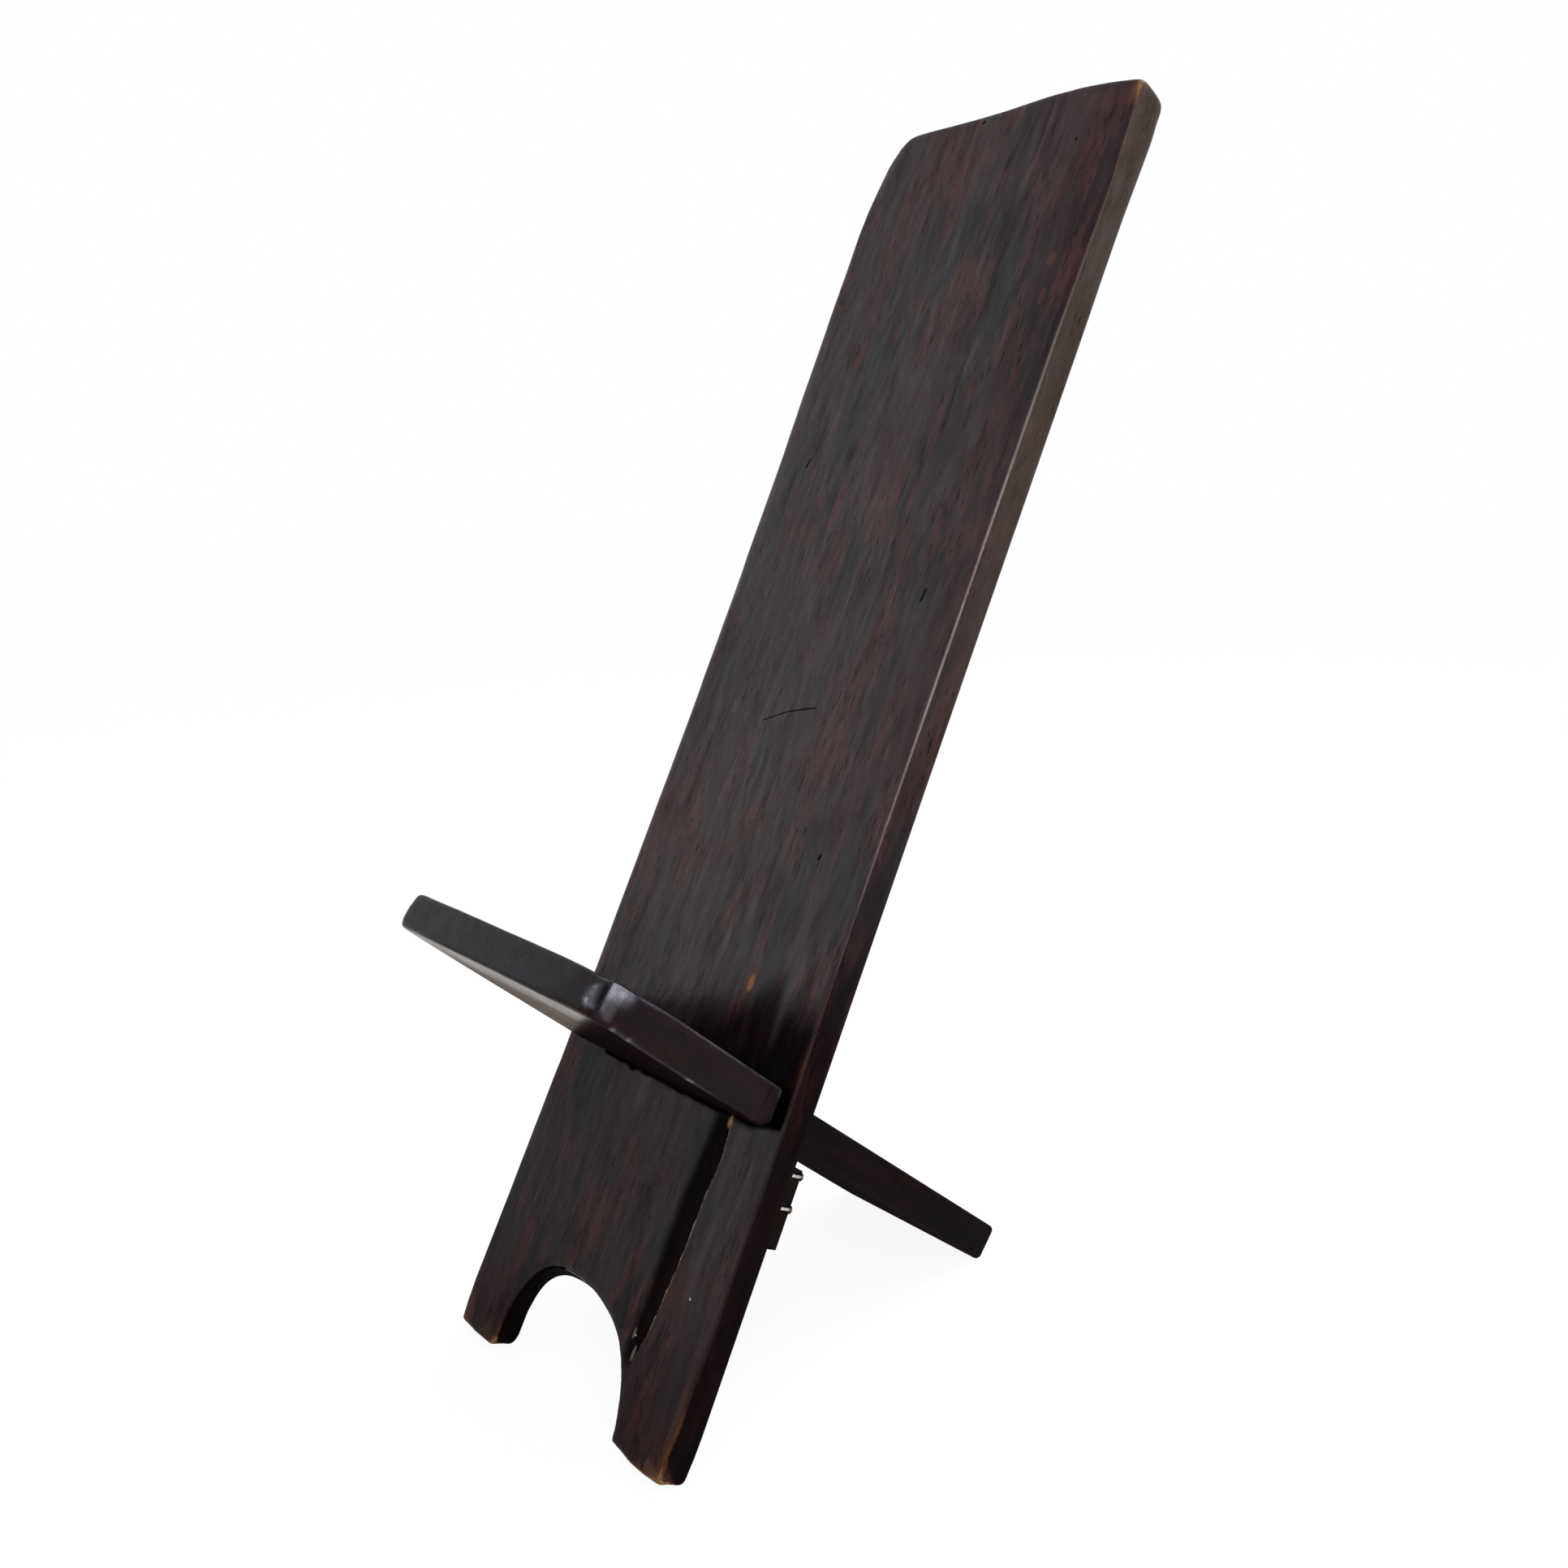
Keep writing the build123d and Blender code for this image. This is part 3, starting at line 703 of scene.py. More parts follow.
def back_plank():
    """The leaning plank, with its hewn faces, split, chips and worn places."""
    warps = (
        Warp([(-160, 1.0), (-128, 0.34), (56, 0.8), (104, 0.45), (127, 1.0), (160, 1.0)]),
        Warp([
            (-20, 0.7), (110, 0.32), (222, 0.6), (262, 0.3), (300, 0.2), (950, 0.5), (1050, 0.9), (1110, 0.9),
        ]),
        Warp([(-30, 1.0), (4, 0.4), (21, 1.0), (60, 1.0)]),
    )

    def in_nail_hole(p):
        inner = (np.abs(p[:, 0]) < 128.0) & (p[:, 2] > 1.0) & (p[:, 2] < 21.0)
        return inner & (p[:, 1] > 150.0) & (p[:, 1] < 222.0)

    grain, faces = dense("back_plank", BACK, warps, in_nail_hole)
    normal = point_normals(grain, faces)
    edge = edgeness(grain, faces, normal)
    x, y, z = grain.T
    nx, ny, nz = normal.T
    front = smooth(0.35, 0.8, nz)
    back = smooth(0.35, 0.8, -nz)
    near_side = smooth(0.15, 0.5, nx) * (x > 100.0)
    inner = (np.abs(x) < 100.0) & (front + back < 0.5) & (y < 1000.0)
    in_slot = inner & (y > 200.0)
    in_arch = inner & (y < 120.0)

    # arrises eased, the ends, the far shoulder and the arch more than the long edges, and corners rounded
    round_off = 0.3 + 0.7 * np.maximum(smooth(34.0, 16.0, y), smooth(1030.0, 1060.0, y))
    round_off = np.maximum(round_off, smooth(-100.0, -118.0, x) * smooth(960.0, 1000.0, y))
    round_off = np.maximum(round_off, (np.abs(x) < 95.0) * smooth(122.0, 112.0, y)) * (1.0 - in_slot)
    points = softened(grain, faces, round_off, 10)
    near_top_corner = blob(grain, (132.0, 1074.0, 12.0), (44.0, 44.0, 60.0))
    far_top_corner = blob(grain, (-112.0, 1030.0, 12.0), (60.0, 70.0, 60.0))
    corner = np.maximum(near_top_corner, far_top_corner)
    for place, reach in FOOT_CORNERS:
        corner = np.maximum(corner, blob(grain, (place, 0.0, 12.0), (reach, reach, 60.0)))
    points = softened(points, faces, np.clip(2.0 * corner, 0.0, 1.0), 14)
    hewn = 0.35 * waves(grain, 70.0, 210.0, 3) + 0.10 * waves(grain, 24.0, 80.0, 9)
    points += normal * (hewn * (1.0 - in_slot))[:, None]

    # the outline's corrections: long edges, near top corner, soles, and the arch's near wall
    points[:, 0] -= FAR_ARRIS_OUT * smooth(-118.0, -130.0, x)
    points[:, 0] += NEAR_REAR_ARRIS_OUT * smooth(118.0, 130.0, x) * smooth(16.0, 4.0, z)
    points[:, 0] += NEAR_TOP_OUT * smooth(940.0, 1060.0, y) * smooth(118.0, 134.0, x) * smooth(20.0, 4.0, z)
    points[:, 1] -= NEAR_TOP_DOWN * smooth(1030.0, 1066.0, y) * smooth(104.0, 134.0, x) * smooth(20.0, 2.0, z)
    points[:, 0] -= along(ARRIS_IN, y) * smooth(116.0, 134.0, x) * np.clip(z / BACK_THICK, 0.0, 1.0)
    points[:, 1] -= (SOLE_FRONT_DOWN * smooth(8.0, 24.0, z) + SOLE_DOWN) * smooth(16.0, 2.0, y)
    points[:, 1] += ARCH_FOOT_UP * blob(grain, (80.0, 0.0, 20.0), (24.0, 14.0, 30.0))
    points[:, 0] -= ARCH_WALL_IN * smooth(20.0, 70.0, x) * smooth(108.0, 88.0, x) * smooth(124.0, 50.0, y)

    # the slot's lower wall, close under the tongue
    wall = in_slot & (ny > 0.6) & (y < 252.0)
    beside = SEAT.local(BACK.world(points))
    beside[:, 2] = np.where(wall, SLOT_WALL, beside[:, 2])
    points = np.where(wall[:, None], BACK.local(SEAT.world(beside)), points)

    # the split from the slot to the arch: the wood on its far side is hollowed, its near lip stands proud
    split = along(SPLIT, y)
    hollow = along(HOLLOW, y)
    in_run = smooth(44.0, 62.0, y) * smooth(247.0, 238.0, y) * front
    off = x - split
    across = np.clip((x - hollow) / np.maximum(split - hollow, 1.0), 0.0, 1.0)
    depth = SPLIT_DEPTH * (across**1.6 * (off < 0.0)) * in_run
    points[:, 2] += SPLIT_LIP * bell(off, 1.6, 1.8) * in_run - depth

    # the slot's lower front edge is chipped
    under = SLOT_LOW_Y - y
    chip = np.clip(0.6 + 2.2 * waves(grain * np.array([1.0, 0.0, 0.0]), 7.0, 7.0, 41), 0.0, 4.0)
    chip += 5.0 * bell(x, -40.0, 3.0) + 1.8 * bell(x, 22.0, 5.0)
    chipped = smooth(0.5, -0.7, under - chip) * (under > -3.0) * (1.0 - back)
    chipped = chipped * (x > SLOT_X[0]) * (x < SLOT_X[1])
    points[:, 2] -= CHIP_DEPTH * chipped

    # the top edge's bow
    points[:, 1] += TOP_BOW * bell(x, 58.0, 54.0) * smooth(1020.0, 1064.0, y)

    # wear and a painted highlight on the near front arris, worn corners, and the arch's rubbed rim
    arris = np.clip(2.0 * nx * nz, 0.0, 1.0) ** 4 * (x > 120.0)
    wear = arris * along(ARRIS_WEAR, y)
    for centre, radii, strength in WORN_PLACES:
        wear = np.maximum(wear, strength * blob(grain, centre, radii))
    rim = smooth(0.3, 0.8, edge) * (np.abs(x) < 100.0) * (y < 124.0) * smooth(-0.2, 0.3, nz)
    wear = np.maximum(wear, 0.24 * rim * smooth(-10.0, 30.0, x))
    broken = 0.9 + 0.35 * waves(grain, 6.0, 14.0, 61) + 0.3 * waves(grain, 6.0, 60.0, 63)
    shine = arris * np.clip(along(ARRIS_HIGHLIGHT, y) * broken, 0.0, 1.0)

    # the seat's painted shadow and reflection above it, the painted light streak running down into it,
    # and the painted shadow beside the shoulder
    seat_shade = smooth(17.0, -17.0, y - along(SEAT_SHADE_TOP, x)) * smooth(-40.0, 30.0, x)
    seat_shade = seat_shade * smooth(238.0, 244.0, y) * front * (x < 133.0)
    streak = bell(x, along(STREAK_X, y), along(STREAK_WIDTH, y))
    seat_shade *= 1.0 - streak * smooth(284.0, 308.0, y)
    seat_shade *= np.clip(0.95 + 0.35 * waves(grain, 16.0, 26.0, 71), 0.0, 1.1)
    low = 242.0 + 0.27 * (x - 108.0)
    above_low = smooth(low - 2.0, low + 2.0, y)
    seat_shade = seat_shade * np.where(x > 108.0, above_low, 1.0)
    shadow_beside_end = front * (x > 108.0) * (x < 133.0) * above_low * smooth(290.0, 276.0, y)
    seat_shade = np.maximum(seat_shade, shadow_beside_end)
    seat_shade = np.clip(seat_shade, 0.0, 1.0) * along(SEAT_SHADE_DEPTH, y)

    # gloss: by place along the front face and the near side, less in the slot, arch, split and painted shadow
    face_gloss = along(FACE_GLOSS, y) * (1.0 - 0.2 * smooth(70.0, 128.0, x) * smooth(380.0, 620.0, y))
    face_gloss *= 1.0 - 0.21 * smooth(60.0, 125.0, x) * smooth(720.0, 800.0, y)
    face_gloss *= 1.0 - 0.19 * smooth(-62.0, -112.0, x) * smooth(150.0, 230.0, y) * smooth(680.0, 560.0, y)
    face_gloss *= 1.0 - 0.15 * bell(x, 42.0, 20.0) * smooth(560.0, 680.0, y)
    beyond_split = 0.09 * smooth(74.0, 84.0, x) * smooth(110.0, 98.0, x)
    face_gloss += beyond_split * smooth(90.0, 140.0, y) * smooth(262.0, 240.0, y)
    face_gloss += 0.15 * smooth(90.0, 102.0, x) * smooth(60.0, 180.0, y) * smooth(262.0, 244.0, y)
    face_gloss += 0.24 * streak * smooth(298.0, 325.0, y) * smooth(395.0, 350.0, y)
    face_gloss *= 1.0 - 0.3 * bell(x, 130.3, 1.7) * smooth(780.0, 860.0, y) * smooth(1010.0, 960.0, y)
    gloss = 0.5 * (1.0 - front) + face_gloss * front
    gloss = gloss * (1.0 - near_side) + along(SIDE_GLOSS, y) * near_side
    shaded_hollow = smooth(-1.0, 9.0, x - hollow) * (off < 0.8) * in_run
    gloss = gloss * (1.0 - 0.85 * shaded_hollow) * (1.0 - chipped) * (1.0 - in_slot) * (1.0 - 0.96 * in_arch)
    gloss = gloss * (1.0 - 0.97 * seat_shade)
    below_slot = smooth(212.0, 238.0, y) * smooth(-60.0, -20.0, x) * smooth(74.0, 56.0, x)
    scraped = below_slot * front * (1.0 - chipped)
    gloss += 0.35 * scraped * np.clip(waves(grain, 5.0, 40.0, 77), 0.0, 1.0)

    # tone: painted shade in the split's hollow, chips, slot, arch and the seat's shadow,
    # and low on the near side; the face darker towards the foot.
    # olive: painted light on the near side's upper part
    shade_and_tone = 1.0 - near_side * (1.0 - along(SIDE_SHADE, y))
    shade_and_tone = shade_and_tone * (1.0 - 0.75 * shaded_hollow) * (1.0 - 0.9 * chipped)
    shade_and_tone = shade_and_tone * (1.0 - 0.9 * in_slot) * (1.0 - 0.86 * in_arch)
    shade_and_tone = shade_and_tone * (1.0 - front * (1.0 - along(FACE_TONE, y)))
    shade_and_tone = shade_and_tone * (1.0 - 0.9 * seat_shade)
    olive_light = near_side * along(SIDE_OLIVE_LIGHT, y)

    # warm: broad red-brown areas of the front face, the near side, and the split's far edge
    warm = 0.6 * near_side
    for area in (
        0.9 * front * smooth(80.0, 126.0, x) * smooth(420.0, 620.0, y),
        0.95 * front * smooth(860.0, 1040.0, y),
        0.75 * front * bell(x, 16.0, 24.0) * smooth(370.0, 460.0, y),
        0.8 * front * blob(grain, (-38.0, 450.0, BACK_THICK), (64.0, 120.0, 20.0)),
        0.5 * front * smooth(88.0, 104.0, x) * smooth(260.0, 230.0, y),
        0.6 * front * smooth(90.0, 30.0, y),
        0.5 * front * smooth(-96.0, -126.0, x),
        1.1 * front * blob(grain, (-104.0, 372.0, BACK_THICK), (52.0, 120.0, 20.0)),
        0.9 * front * bell(x - hollow, -2.0, 5.0) * in_run,
    ):
        warm = np.maximum(warm, area)
    attributes = dict(zip(LOOKS, (edge, wear, gloss, warm, shade_and_tone, olive_light, shine, 0.0 * x)))
    made = build("back_board", BACK, points, faces, grain, attributes, BACK_WOOD)
    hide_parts("back_plank")
    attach(made, "back")


# ---------------------------------------------------------------- the seat plank

SEAT_HALF = 132.4  # half the seat's width, and its length ahead of the shoulders, over the eased arrises
SEAT_FRONT = 190.3
SEAT_CORNERS = ((1.0, 36.0, 2.1), (-1.0, 12.0, 2.6))  # side, reach and roundness of each front corner
CAD_ROUNDNESS = 5.5  # of the same corners in the CAD solid

# How far the shown plank departs from the CAD solid, in millimetres.
FRONT_TOP_DOWN = 1.0
FAR_END_OUT, FAR_END_BULGE = 3.6, 2.2
FAR_TOP_IN, FAR_LOW_IN = 0.8, 2.0
DIP_DOWN, DIP_BACK = 1.2, 0.8
SHOULDER_UP = 6.0
TONGUE_UP = 1.8

# The glossy near corner with the painted highlight: right and down are what lies to the right and
# down on it as one faces the corner.
GLINT_CENTRE = (120.0, -178.0, -15.0)
GLINT_AXES = ((1.013, 1.183, 0.890), (0.479, 0.728, -1.578))
# Tables of (down, right): the middle of the crescent of painted light, and of the band of painted shade.
CRESCENT = ((-24.0, -10.5), (-15.4, -15.9), (-7.4, -17.9), (-1.4, -16.9), (3.0, -14.0))
BAND = ((-21.0, 1.1), (-11.4, -3.4), (-0.4, -9.4), (7.6, -6.9))
# The underside is lit ahead of a slanting line. Its gloss there is a table of (place along the plank, value).
UNDER_GLOSS = ((-190, 0.49), (-179, 0.59), (-164, 0.49), (-143, 0.31), (-133, 0.18), (-110, 0.15), (0, 0.12))
UNDER_DARK = 0.09
# Nicks on the lower near arris, shown as painted light: place along the plank, and half length.
NICKS = ((-171.0, 2.2), (-155.0, 2.4), (-89.0, 5.0))


def seat_plank():
    """The seat and tongue: rounded front corners, a hewn far end, a glossy near corner with a painted
    highlight.
    """
    warps = (
        Warp([
            (-170, 0.9), (-112, 0.4), (-86, 0.9), (-70, 0.4), (70, 0.9), (86, 0.4), (112, 0.9), (170, 0.9),
        ]),
        Warp([(-240, 0.9), (-165, 0.4), (-12, 0.7), (12, 0.35), (340, 0.9), (400, 0.9)]),
        Warp([(-60, 1.0), (-26, 0.4), (-5, 1.0), (40, 1.0)]),
    )
    grain, faces = dense("seat_plank", SEAT, warps)
    x, y, z = grain.T
    points = grain.copy()

    # the shallow flute in the front edge is filled, and both front corners are rounded
    flute = np.sqrt(np.maximum(26.0**2 - (x + 106.5) ** 2, 0.0)) - 23.1 - 1.5 * (x / 133.5) ** 2
    points[:, 1] -= np.clip(flute, 0.0, 2.0) * smooth(-178.0, -184.0, y)
    for side, reach, power in SEAT_CORNERS:
        out = (side * x - (SEAT_HALF - reach)) / reach
        ahead = (-y - (SEAT_FRONT - reach)) / reach
        at_corner = (out > 0.0) & (ahead > 0.0)
        out = np.where(at_corner, out, 0.5)
        ahead = np.where(at_corner, ahead, 0.5)
        was = (out**CAD_ROUNDNESS + ahead**CAD_ROUNDNESS) ** (1 / CAD_ROUNDNESS)
        now = (out**power + ahead**power) ** (1 / power)
        points[:, 0] = np.where(at_corner, side * (SEAT_HALF - reach + reach * out * was / now), points[:, 0])
        points[:, 1] = np.where(at_corner, -(SEAT_FRONT - reach + reach * ahead * was / now), points[:, 1])
    near_end = blob(grain, (118.0, -176.0, -15.0), (50.0, 50.0, 90.0))
    ends = np.maximum(near_end, blob(grain, (-122.0, -180.0, -15.0), (44.0, 44.0, 90.0)))
    points = softened(points, faces, np.clip(2.5 * ends, 0.0, 1.0), 12)
    normal = point_normals(points, faces)
    edge = edgeness(points, faces, normal)
    nx, ny, nz = normal.T

    # hewn faces, a far end that bulges, a dip near the corner, and a lower shoulder corner cut away
    seat = smooth(0.0, -20.0, y)
    points += normal * (0.25 * seat * waves(grain, 60.0, 90.0, 5))[:, None]
    points[:, 2] -= FRONT_TOP_DOWN * smooth(-120.0, -185.0, y) * smooth(-16.0, -2.0, z)
    far_end = smooth(-100.0, -130.0, x) * seat
    far_top = FAR_TOP_IN * np.clip((z + 13.0) / 15.0, 0.0, 1.0) ** 2.5
    points[:, 0] += far_end * (far_top - FAR_END_OUT - FAR_END_BULGE * (1.0 - ((z + 13.0) / 16.0) ** 2))
    dip = bell(x, 110.0, 10.0) * smooth(-150.0, -175.0, y) * smooth(-14.0, -2.0, z)
    points[:, 2] -= DIP_DOWN * dip
    points[:, 1] += DIP_BACK * dip
    points[:, 0] += far_end * FAR_LOW_IN * np.clip((-25.0 - z) / 6.0, 0.0, 1.0) ** 2
    points[:, 2] += SHOULDER_UP * smooth(-10.0, 7.0, y) ** 2 * smooth(-14.0, -31.0, z) * smooth(92.0, 98.0, x)
    points[:, 2] += TONGUE_UP * smooth(36.0, 70.0, y) * smooth(330.0, 60.0, y) * smooth(-14.0, -30.0, z)

    near_side = smooth(0.3, 0.8, nx)
    front_end = smooth(0.4, 0.85, -ny) * (y < -150.0)
    under = smooth(0.4, 0.85, -nz)
    behind = smooth(12.0, 30.0, y)
    to_back = y + 0.22 * z
    # painted shade at the shoulder's end beside the back plank, and at its lower corner
    shoulder = (x > 60.0) * smooth(-2.2, -0.4, to_back) * (1.0 - behind)
    low_corner = smooth(12.0, 3.0, np.hypot(y - 5.0, z + 31.0)) * (x > 60.0) * (1.0 - behind)

    # the near corner's highlight: its left edge, its fade downwards and inwards, and its brightest core
    right, down = np.array(GLINT_AXES) @ (points - np.array(GLINT_CENTRE)).T
    cornered = (x > 85.0) * smooth(-140.0, -150.0, y) * (1.0 - under) * smooth(0.9, 0.6, nz)
    inward = (right - 6.1) * 0.877 + (down + 21.9) * 0.481
    below = down - 3.6 - 0.516 * (right + 7.9)
    fade = smooth(2.0, -28.0, below) ** 2 * smooth(38.0, 18.0, inward)
    left_edge = 0.27 * bell(inward, 4.0, 5.0) * smooth(8.0, -4.0, below)
    lamplit = np.maximum(fade, left_edge) * smooth(-0.5, 2.5, inward) * cornered
    core = np.maximum(0.62 * bell(inward, 4.0, 8.0), 0.40 * smooth(-20.0, -31.0, below)) * lamplit
    core = np.maximum(core, 0.15 * smooth(17.0, 22.0, inward) * fade * cornered)
    # a painted crescent of light with a bright spot, a band of painted shade beside it, and painted shade
    # below
    ends_at = smooth(-27.0, -20.0, down) * cornered
    crescent = bell(right, along(CRESCENT, down), 5.5) * smooth(5.0, -2.0, down) * ends_at
    spot = bell(right, -22.0, 2.4) * bell(down, -6.0, 5.0) * cornered
    band = bell(right, along(BAND, down), 3.2) * smooth(14.0, 6.0, down) * ends_at
    low_shade = smooth(-2.0, 7.0, down) * smooth(1.0, -6.0, inward) * smooth(-44.0, -20.0, right) * cornered
    low_front = np.clip(2.0 * ny * nz, 0.0, 1.0) * (nz < 0.0) * smooth(-75.0, -50.0, x)
    behind_line = y + 181.0 - 0.76 * (112.5 - x)
    lit_under = smooth(5.0, -7.0, behind_line)

    gloss = 0.5 * (1.0 - near_side) + 0.19 * near_side
    gloss = gloss * (1.0 - front_end) + 0.49 * front_end
    gloss = np.maximum(np.maximum(gloss, lamplit), 0.65 * crescent)
    gloss = gloss * (1.0 - 0.75 * band) * (1.0 - 0.6 * low_shade) * (1.0 - 0.7 * low_front)
    under_gloss = UNDER_DARK + (along(UNDER_GLOSS, y) - UNDER_DARK) * lit_under
    gloss = gloss * (1.0 - under) + under_gloss * under
    low_light = behind * np.maximum(near_side, under)
    gloss = gloss * (1.0 - low_light) + (0.085 * near_side + 0.01 * under) * low_light
    gloss = gloss * (1.0 - shoulder) * (1.0 - 0.8 * low_corner)

    # painted light on the arrises, the nicks and the corner
    top_arris = np.clip(2.0 * nx * nz, 0.0, 1.0) ** 3
    low_arris = np.clip(-2.0 * nx * nz, 0.0, 1.0) ** 3
    top_arris_light = (0.15 + 0.11 * waves(grain, 5.0, 40.0, 81)) * top_arris
    shine = top_arris_light * smooth(-176.0, -160.0, y) * (y < -2.0) * (x > 0.0)
    for light in (
        0.12 * smooth(-4.5, -3.0, to_back) * smooth(-9.0, -4.0, z) * near_side * (y < 0.0),
        0.026 * smooth(-12.5, -10.0, y) * near_side * smooth(-31.0, -24.0, z) * (1.0 - behind),
        0.08 * low_arris * smooth(-176.0, -166.0, y) * smooth(-40.0, -80.0, y),
        *[0.4 * low_arris * bell(y, place, length) for place, length in NICKS],
        0.26 * crescent * np.clip(0.8 + 0.9 * waves(grain, 4.0, 4.0, 83), 0.2, 1.5),
        0.7 * spot,
        core,
    ):
        shine = np.maximum(shine, light)
    wear = 0.2 * top_arris * (1.0 - behind)
    # painted tan light on the underside ahead of the slanting line, with painted shade beyond it
    under_light = 0.7 * under * smooth(14.0, -20.0, behind_line) * (1.0 - behind) * smooth(0.7, 0.3, edge)
    # warm: redder on the near side and underside, and in the painted shade low on the front, beside the
    # corner's highlight and on the tongue
    warm = 0.9 * near_side * (1.0 - behind) - 0.5 * front_end + 0.4 * under
    warm = warm + 0.8 * low_front + 0.6 * low_shade + 0.6 * low_light
    # tone: painted shade on the near side, deeper on the tongue, the shoulder, its lower corner and the band
    shade_and_tone = 1.0 - 0.25 * near_side
    shade_and_tone = shade_and_tone * (1.0 - 0.35 * low_light * near_side) * (1.0 - 0.9 * shoulder) * (1.0 - 0.6 * low_corner)
    shade_and_tone = shade_and_tone * (1.0 - 0.4 * band)
    # painted olive light on the lit underside
    olive_light = 0.8 * under * lit_under * (1.0 - behind)
    attributes = dict(zip(LOOKS, (edge, wear, gloss, warm, shade_and_tone, olive_light, shine, under_light)))
    made = build("seat_board", SEAT, points, faces, grain, attributes, SEAT_WOOD)
    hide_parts("seat_plank")
    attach(made, "seat")


# ---------------------------------------------------------------- the batten and the nails

BATTEN_OUT = 1.2  # how far its rear face stands out beyond the CAD solid's


def batten():
    """The batten behind the back plank, its near end duller and darker than the rest."""
    warps = (
        Warp([(-170, 0.6), (110, 1.2), (170, 1.2)]),
        Warp([(100, 1.0), (260, 1.0)]),
        Warp([(-40, 1.2), (30, 1.2)]),
    )
    grain, faces = dense("back_cleat", BACK, warps)
    edge = edgeness(grain, faces, point_normals(grain, faces))
    x, _, z = grain.T
    none = np.zeros_like(x)
    near_end = smooth(120.0, 130.0, x)
    looks = (edge, none + 0.25, 0.45 - 0.36 * near_end, none + 0.3, 1.0 - 0.6 * near_end, none, none, none)
    points = grain.copy()
    points[:, 2] -= BATTEN_OUT * smooth(-4.0, -9.0, z)
    across_first = grain[:, [1, 0, 2]]  # its grain runs across the chair
    made = build("batten_board", BACK, points, faces, across_first, dict(zip(LOOKS, looks)), CLEAT_WOOD)
    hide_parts("back_cleat")
    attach(made, "back")


back_plank()
seat_plank()
batten()
nails = nodes["cleat_nails"]
nails.data.materials.clear()
nails.data.materials.append(NAIL_IRON)


# ---------------------------------------------------------------- floor, light and camera

WORLD_LIGHT = 0.45  # strength on the object, 1 where the world is seen or reflected
FLOOR_HALF = 9.0
FLOOR_COLOUR = rgb(0.8, 0.8, 0.8)
SEEN_FLOOR_COLOUR = rgb(0.2, 0.2, 0.2)  # with the glow: white, and dark enough to keep the shadow
SEEN_FLOOR_GLOW = 0.9

# Name, place, aim, size across in metres and watts of each lamp.
LAMPS = (
    ("window", (2.1, -1.28, 1.27), (0.0, -0.1, 0.4), 2.0, 30.0),
    ("top", (0.3, 1.2, 2.8), (0.0, 0.0, 0.4), 1.4, 16.0),
)

# The camera that was fitted to the photo's edges.
LENS = 34.18356
SENSOR = 36.0
SHIFT = (-0.0010184, -0.0043113)
CAMERA_PLACE = (0.86212463, -0.74819114, 0.71326825)
CAMERA_TURN = (76.54101463, 1.74633177, 48.84648709)


def seen_directly(tree):
    """1 for camera, glossy and transmission rays."""
    path = tree.nodes.new("ShaderNodeLightPath")
    total = path.outputs["Is Camera Ray"]
    for name in ("Is Glossy Ray", "Is Transmission Ray"):
        most = tree.nodes.new("ShaderNodeMath")
        most.operation = "MAXIMUM"
        tree.links.new(total, most.inputs[0])
        tree.links.new(path.outputs[name], most.inputs[1])
        total = most.outputs[0]
    return total


def world():
    made = bpy.data.worlds.new("studio")
    bpy.context.scene.world = made
    made.use_nodes = True
    tree = made.node_tree
    background = tree.nodes["Background"]
    strength = tree.nodes.new("ShaderNodeMapRange")
    tree.links.new(seen_directly(tree), strength.inputs["Value"])
    strength.inputs["To Min"].default_value = WORLD_LIGHT
    strength.inputs["To Max"].default_value = 1.0
    tree.links.new(strength.outputs[0], background.inputs["Strength"])
    background.inputs["Color"].default_value = rgb(1.0, 1.0, 1.0)


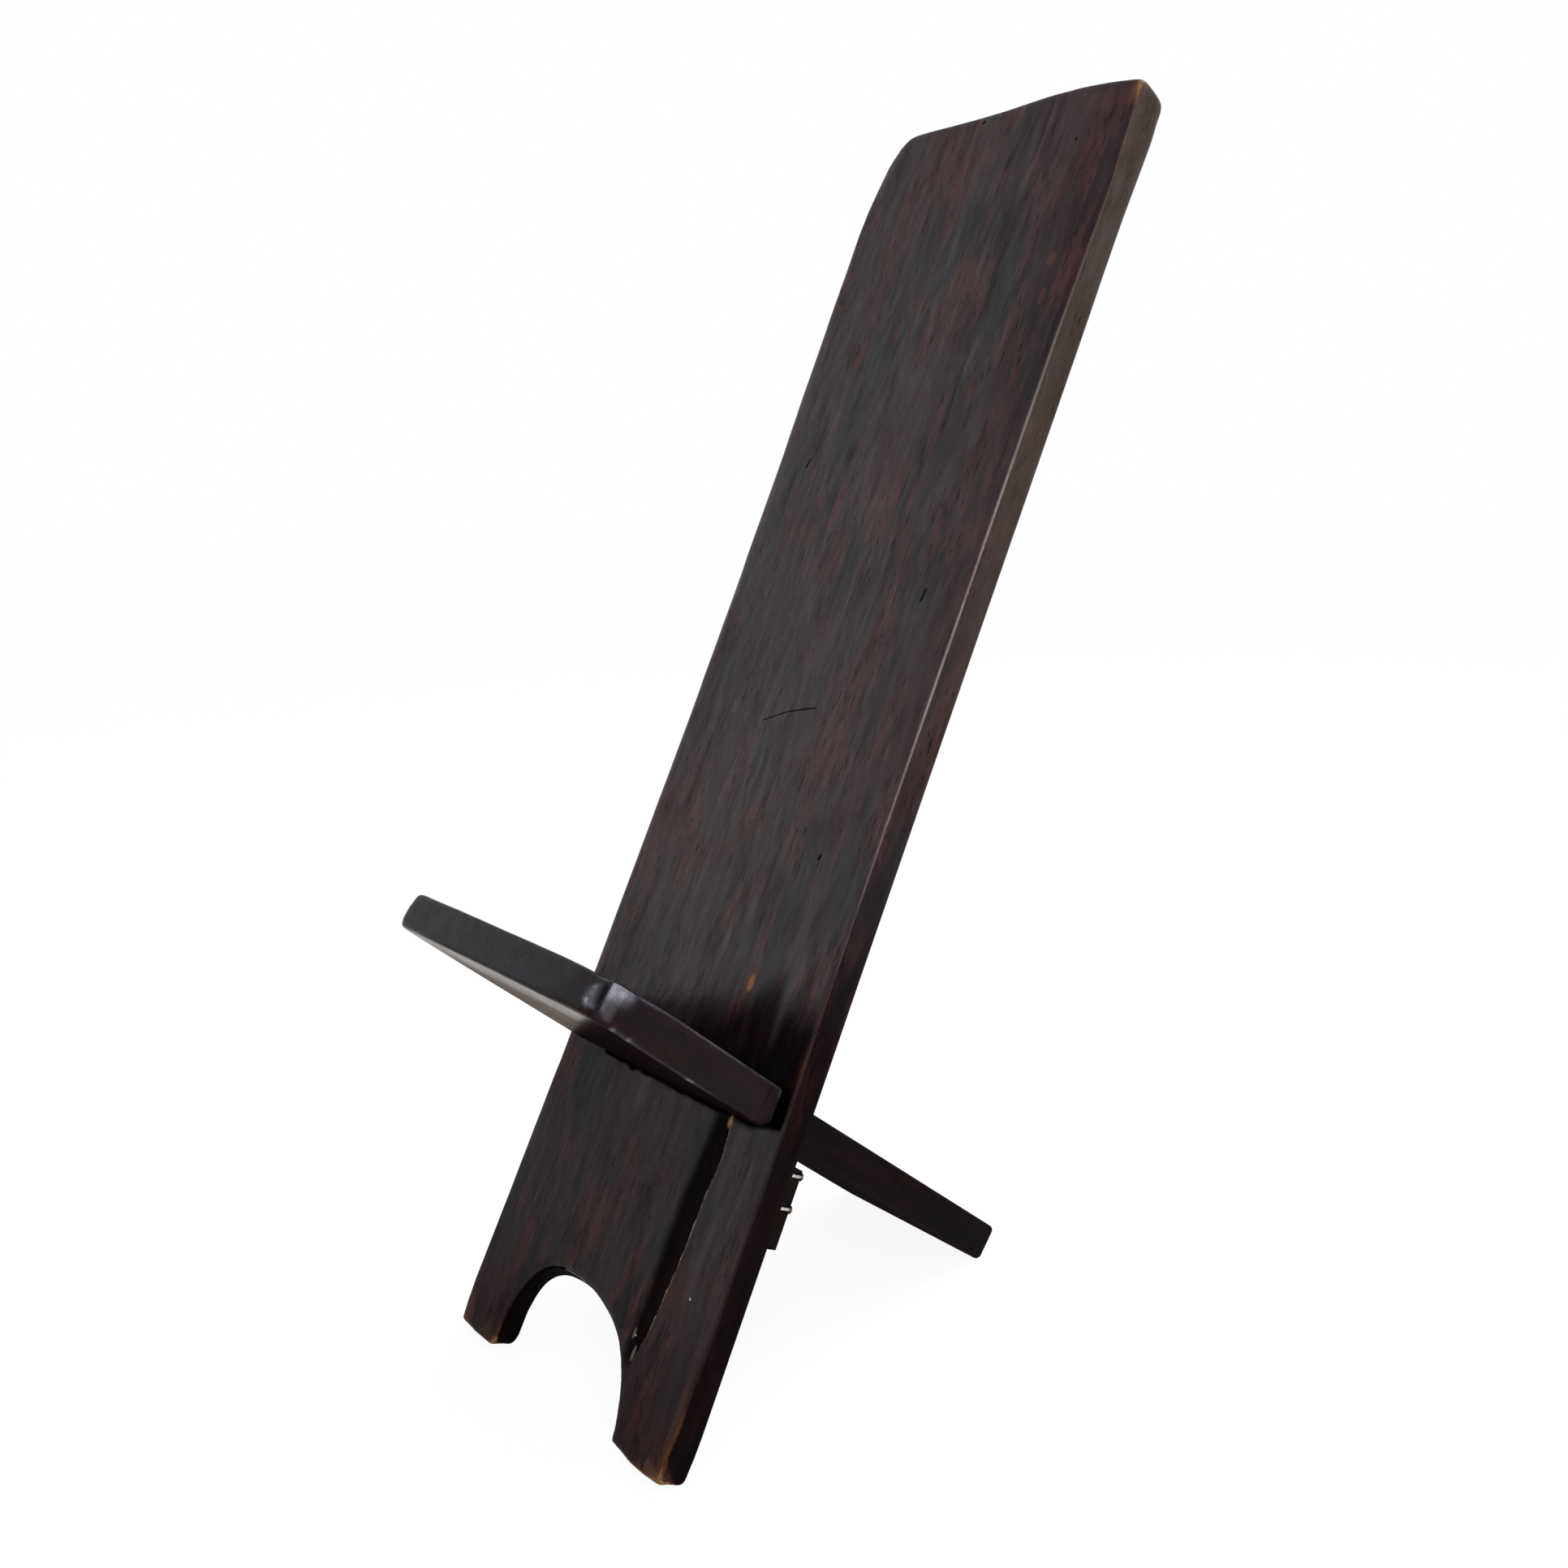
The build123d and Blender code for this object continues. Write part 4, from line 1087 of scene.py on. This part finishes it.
def floor():
    mesh = bpy.data.meshes.new("floor")
    corners = [(-1, -1, 0), (1, -1, 0), (1, 1, 0), (-1, 1, 0)]
    mesh.from_pydata([(FLOOR_HALF * x, FLOOR_HALF * y, z) for x, y, z in corners], [], [(0, 1, 2, 3)])
    made = bpy.data.objects.new("floor", mesh)
    bpy.context.scene.collection.objects.link(made)
    material = bpy.data.materials.new("floor")
    material.use_nodes = True
    tree = material.node_tree
    tree.nodes.clear()
    out = tree.nodes.new("ShaderNodeOutputMaterial")
    plain = tree.nodes.new("ShaderNodeBsdfDiffuse")
    plain.inputs["Color"].default_value = FLOOR_COLOUR
    faint = tree.nodes.new("ShaderNodeBsdfDiffuse")
    faint.inputs["Color"].default_value = SEEN_FLOOR_COLOUR
    glow = tree.nodes.new("ShaderNodeEmission")
    glow.inputs["Strength"].default_value = SEEN_FLOOR_GLOW
    both = tree.nodes.new("ShaderNodeAddShader")
    tree.links.new(faint.outputs[0], both.inputs[0])
    tree.links.new(glow.outputs[0], both.inputs[1])
    pick = tree.nodes.new("ShaderNodeMixShader")
    tree.links.new(seen_directly(tree), pick.inputs[0])
    tree.links.new(plain.outputs[0], pick.inputs[1])
    tree.links.new(both.outputs[0], pick.inputs[2])
    tree.links.new(pick.outputs[0], out.inputs["Surface"])
    mesh.materials.append(material)


def area_lamp(name, place, aim, size, watts):
    data = bpy.data.lights.new(name, "AREA")
    data.shape = "DISK"
    data.size = size
    data.energy = watts
    made = bpy.data.objects.new(name, data)
    made.location = place
    towards = np.array(aim) - np.array(place)
    made.rotation_mode = "QUATERNION"
    made.rotation_quaternion = Vector(towards).to_track_quat("-Z", "Y")
    bpy.context.scene.collection.objects.link(made)


def camera():
    data = bpy.data.cameras.new("camera")
    data.lens = LENS
    data.sensor_width = SENSOR
    data.shift_x, data.shift_y = SHIFT
    data.clip_start = 0.05
    data.clip_end = 60.0
    made = bpy.data.objects.new("camera", data)
    made.location = CAMERA_PLACE
    made.rotation_euler = [math.radians(a) for a in CAMERA_TURN]
    bpy.context.scene.collection.objects.link(made)
    bpy.context.scene.camera = made


world()
floor()
for lamp in LAMPS:
    area_lamp(*lamp)
camera()

view = bpy.context.scene.view_settings
view.view_transform = "Standard"
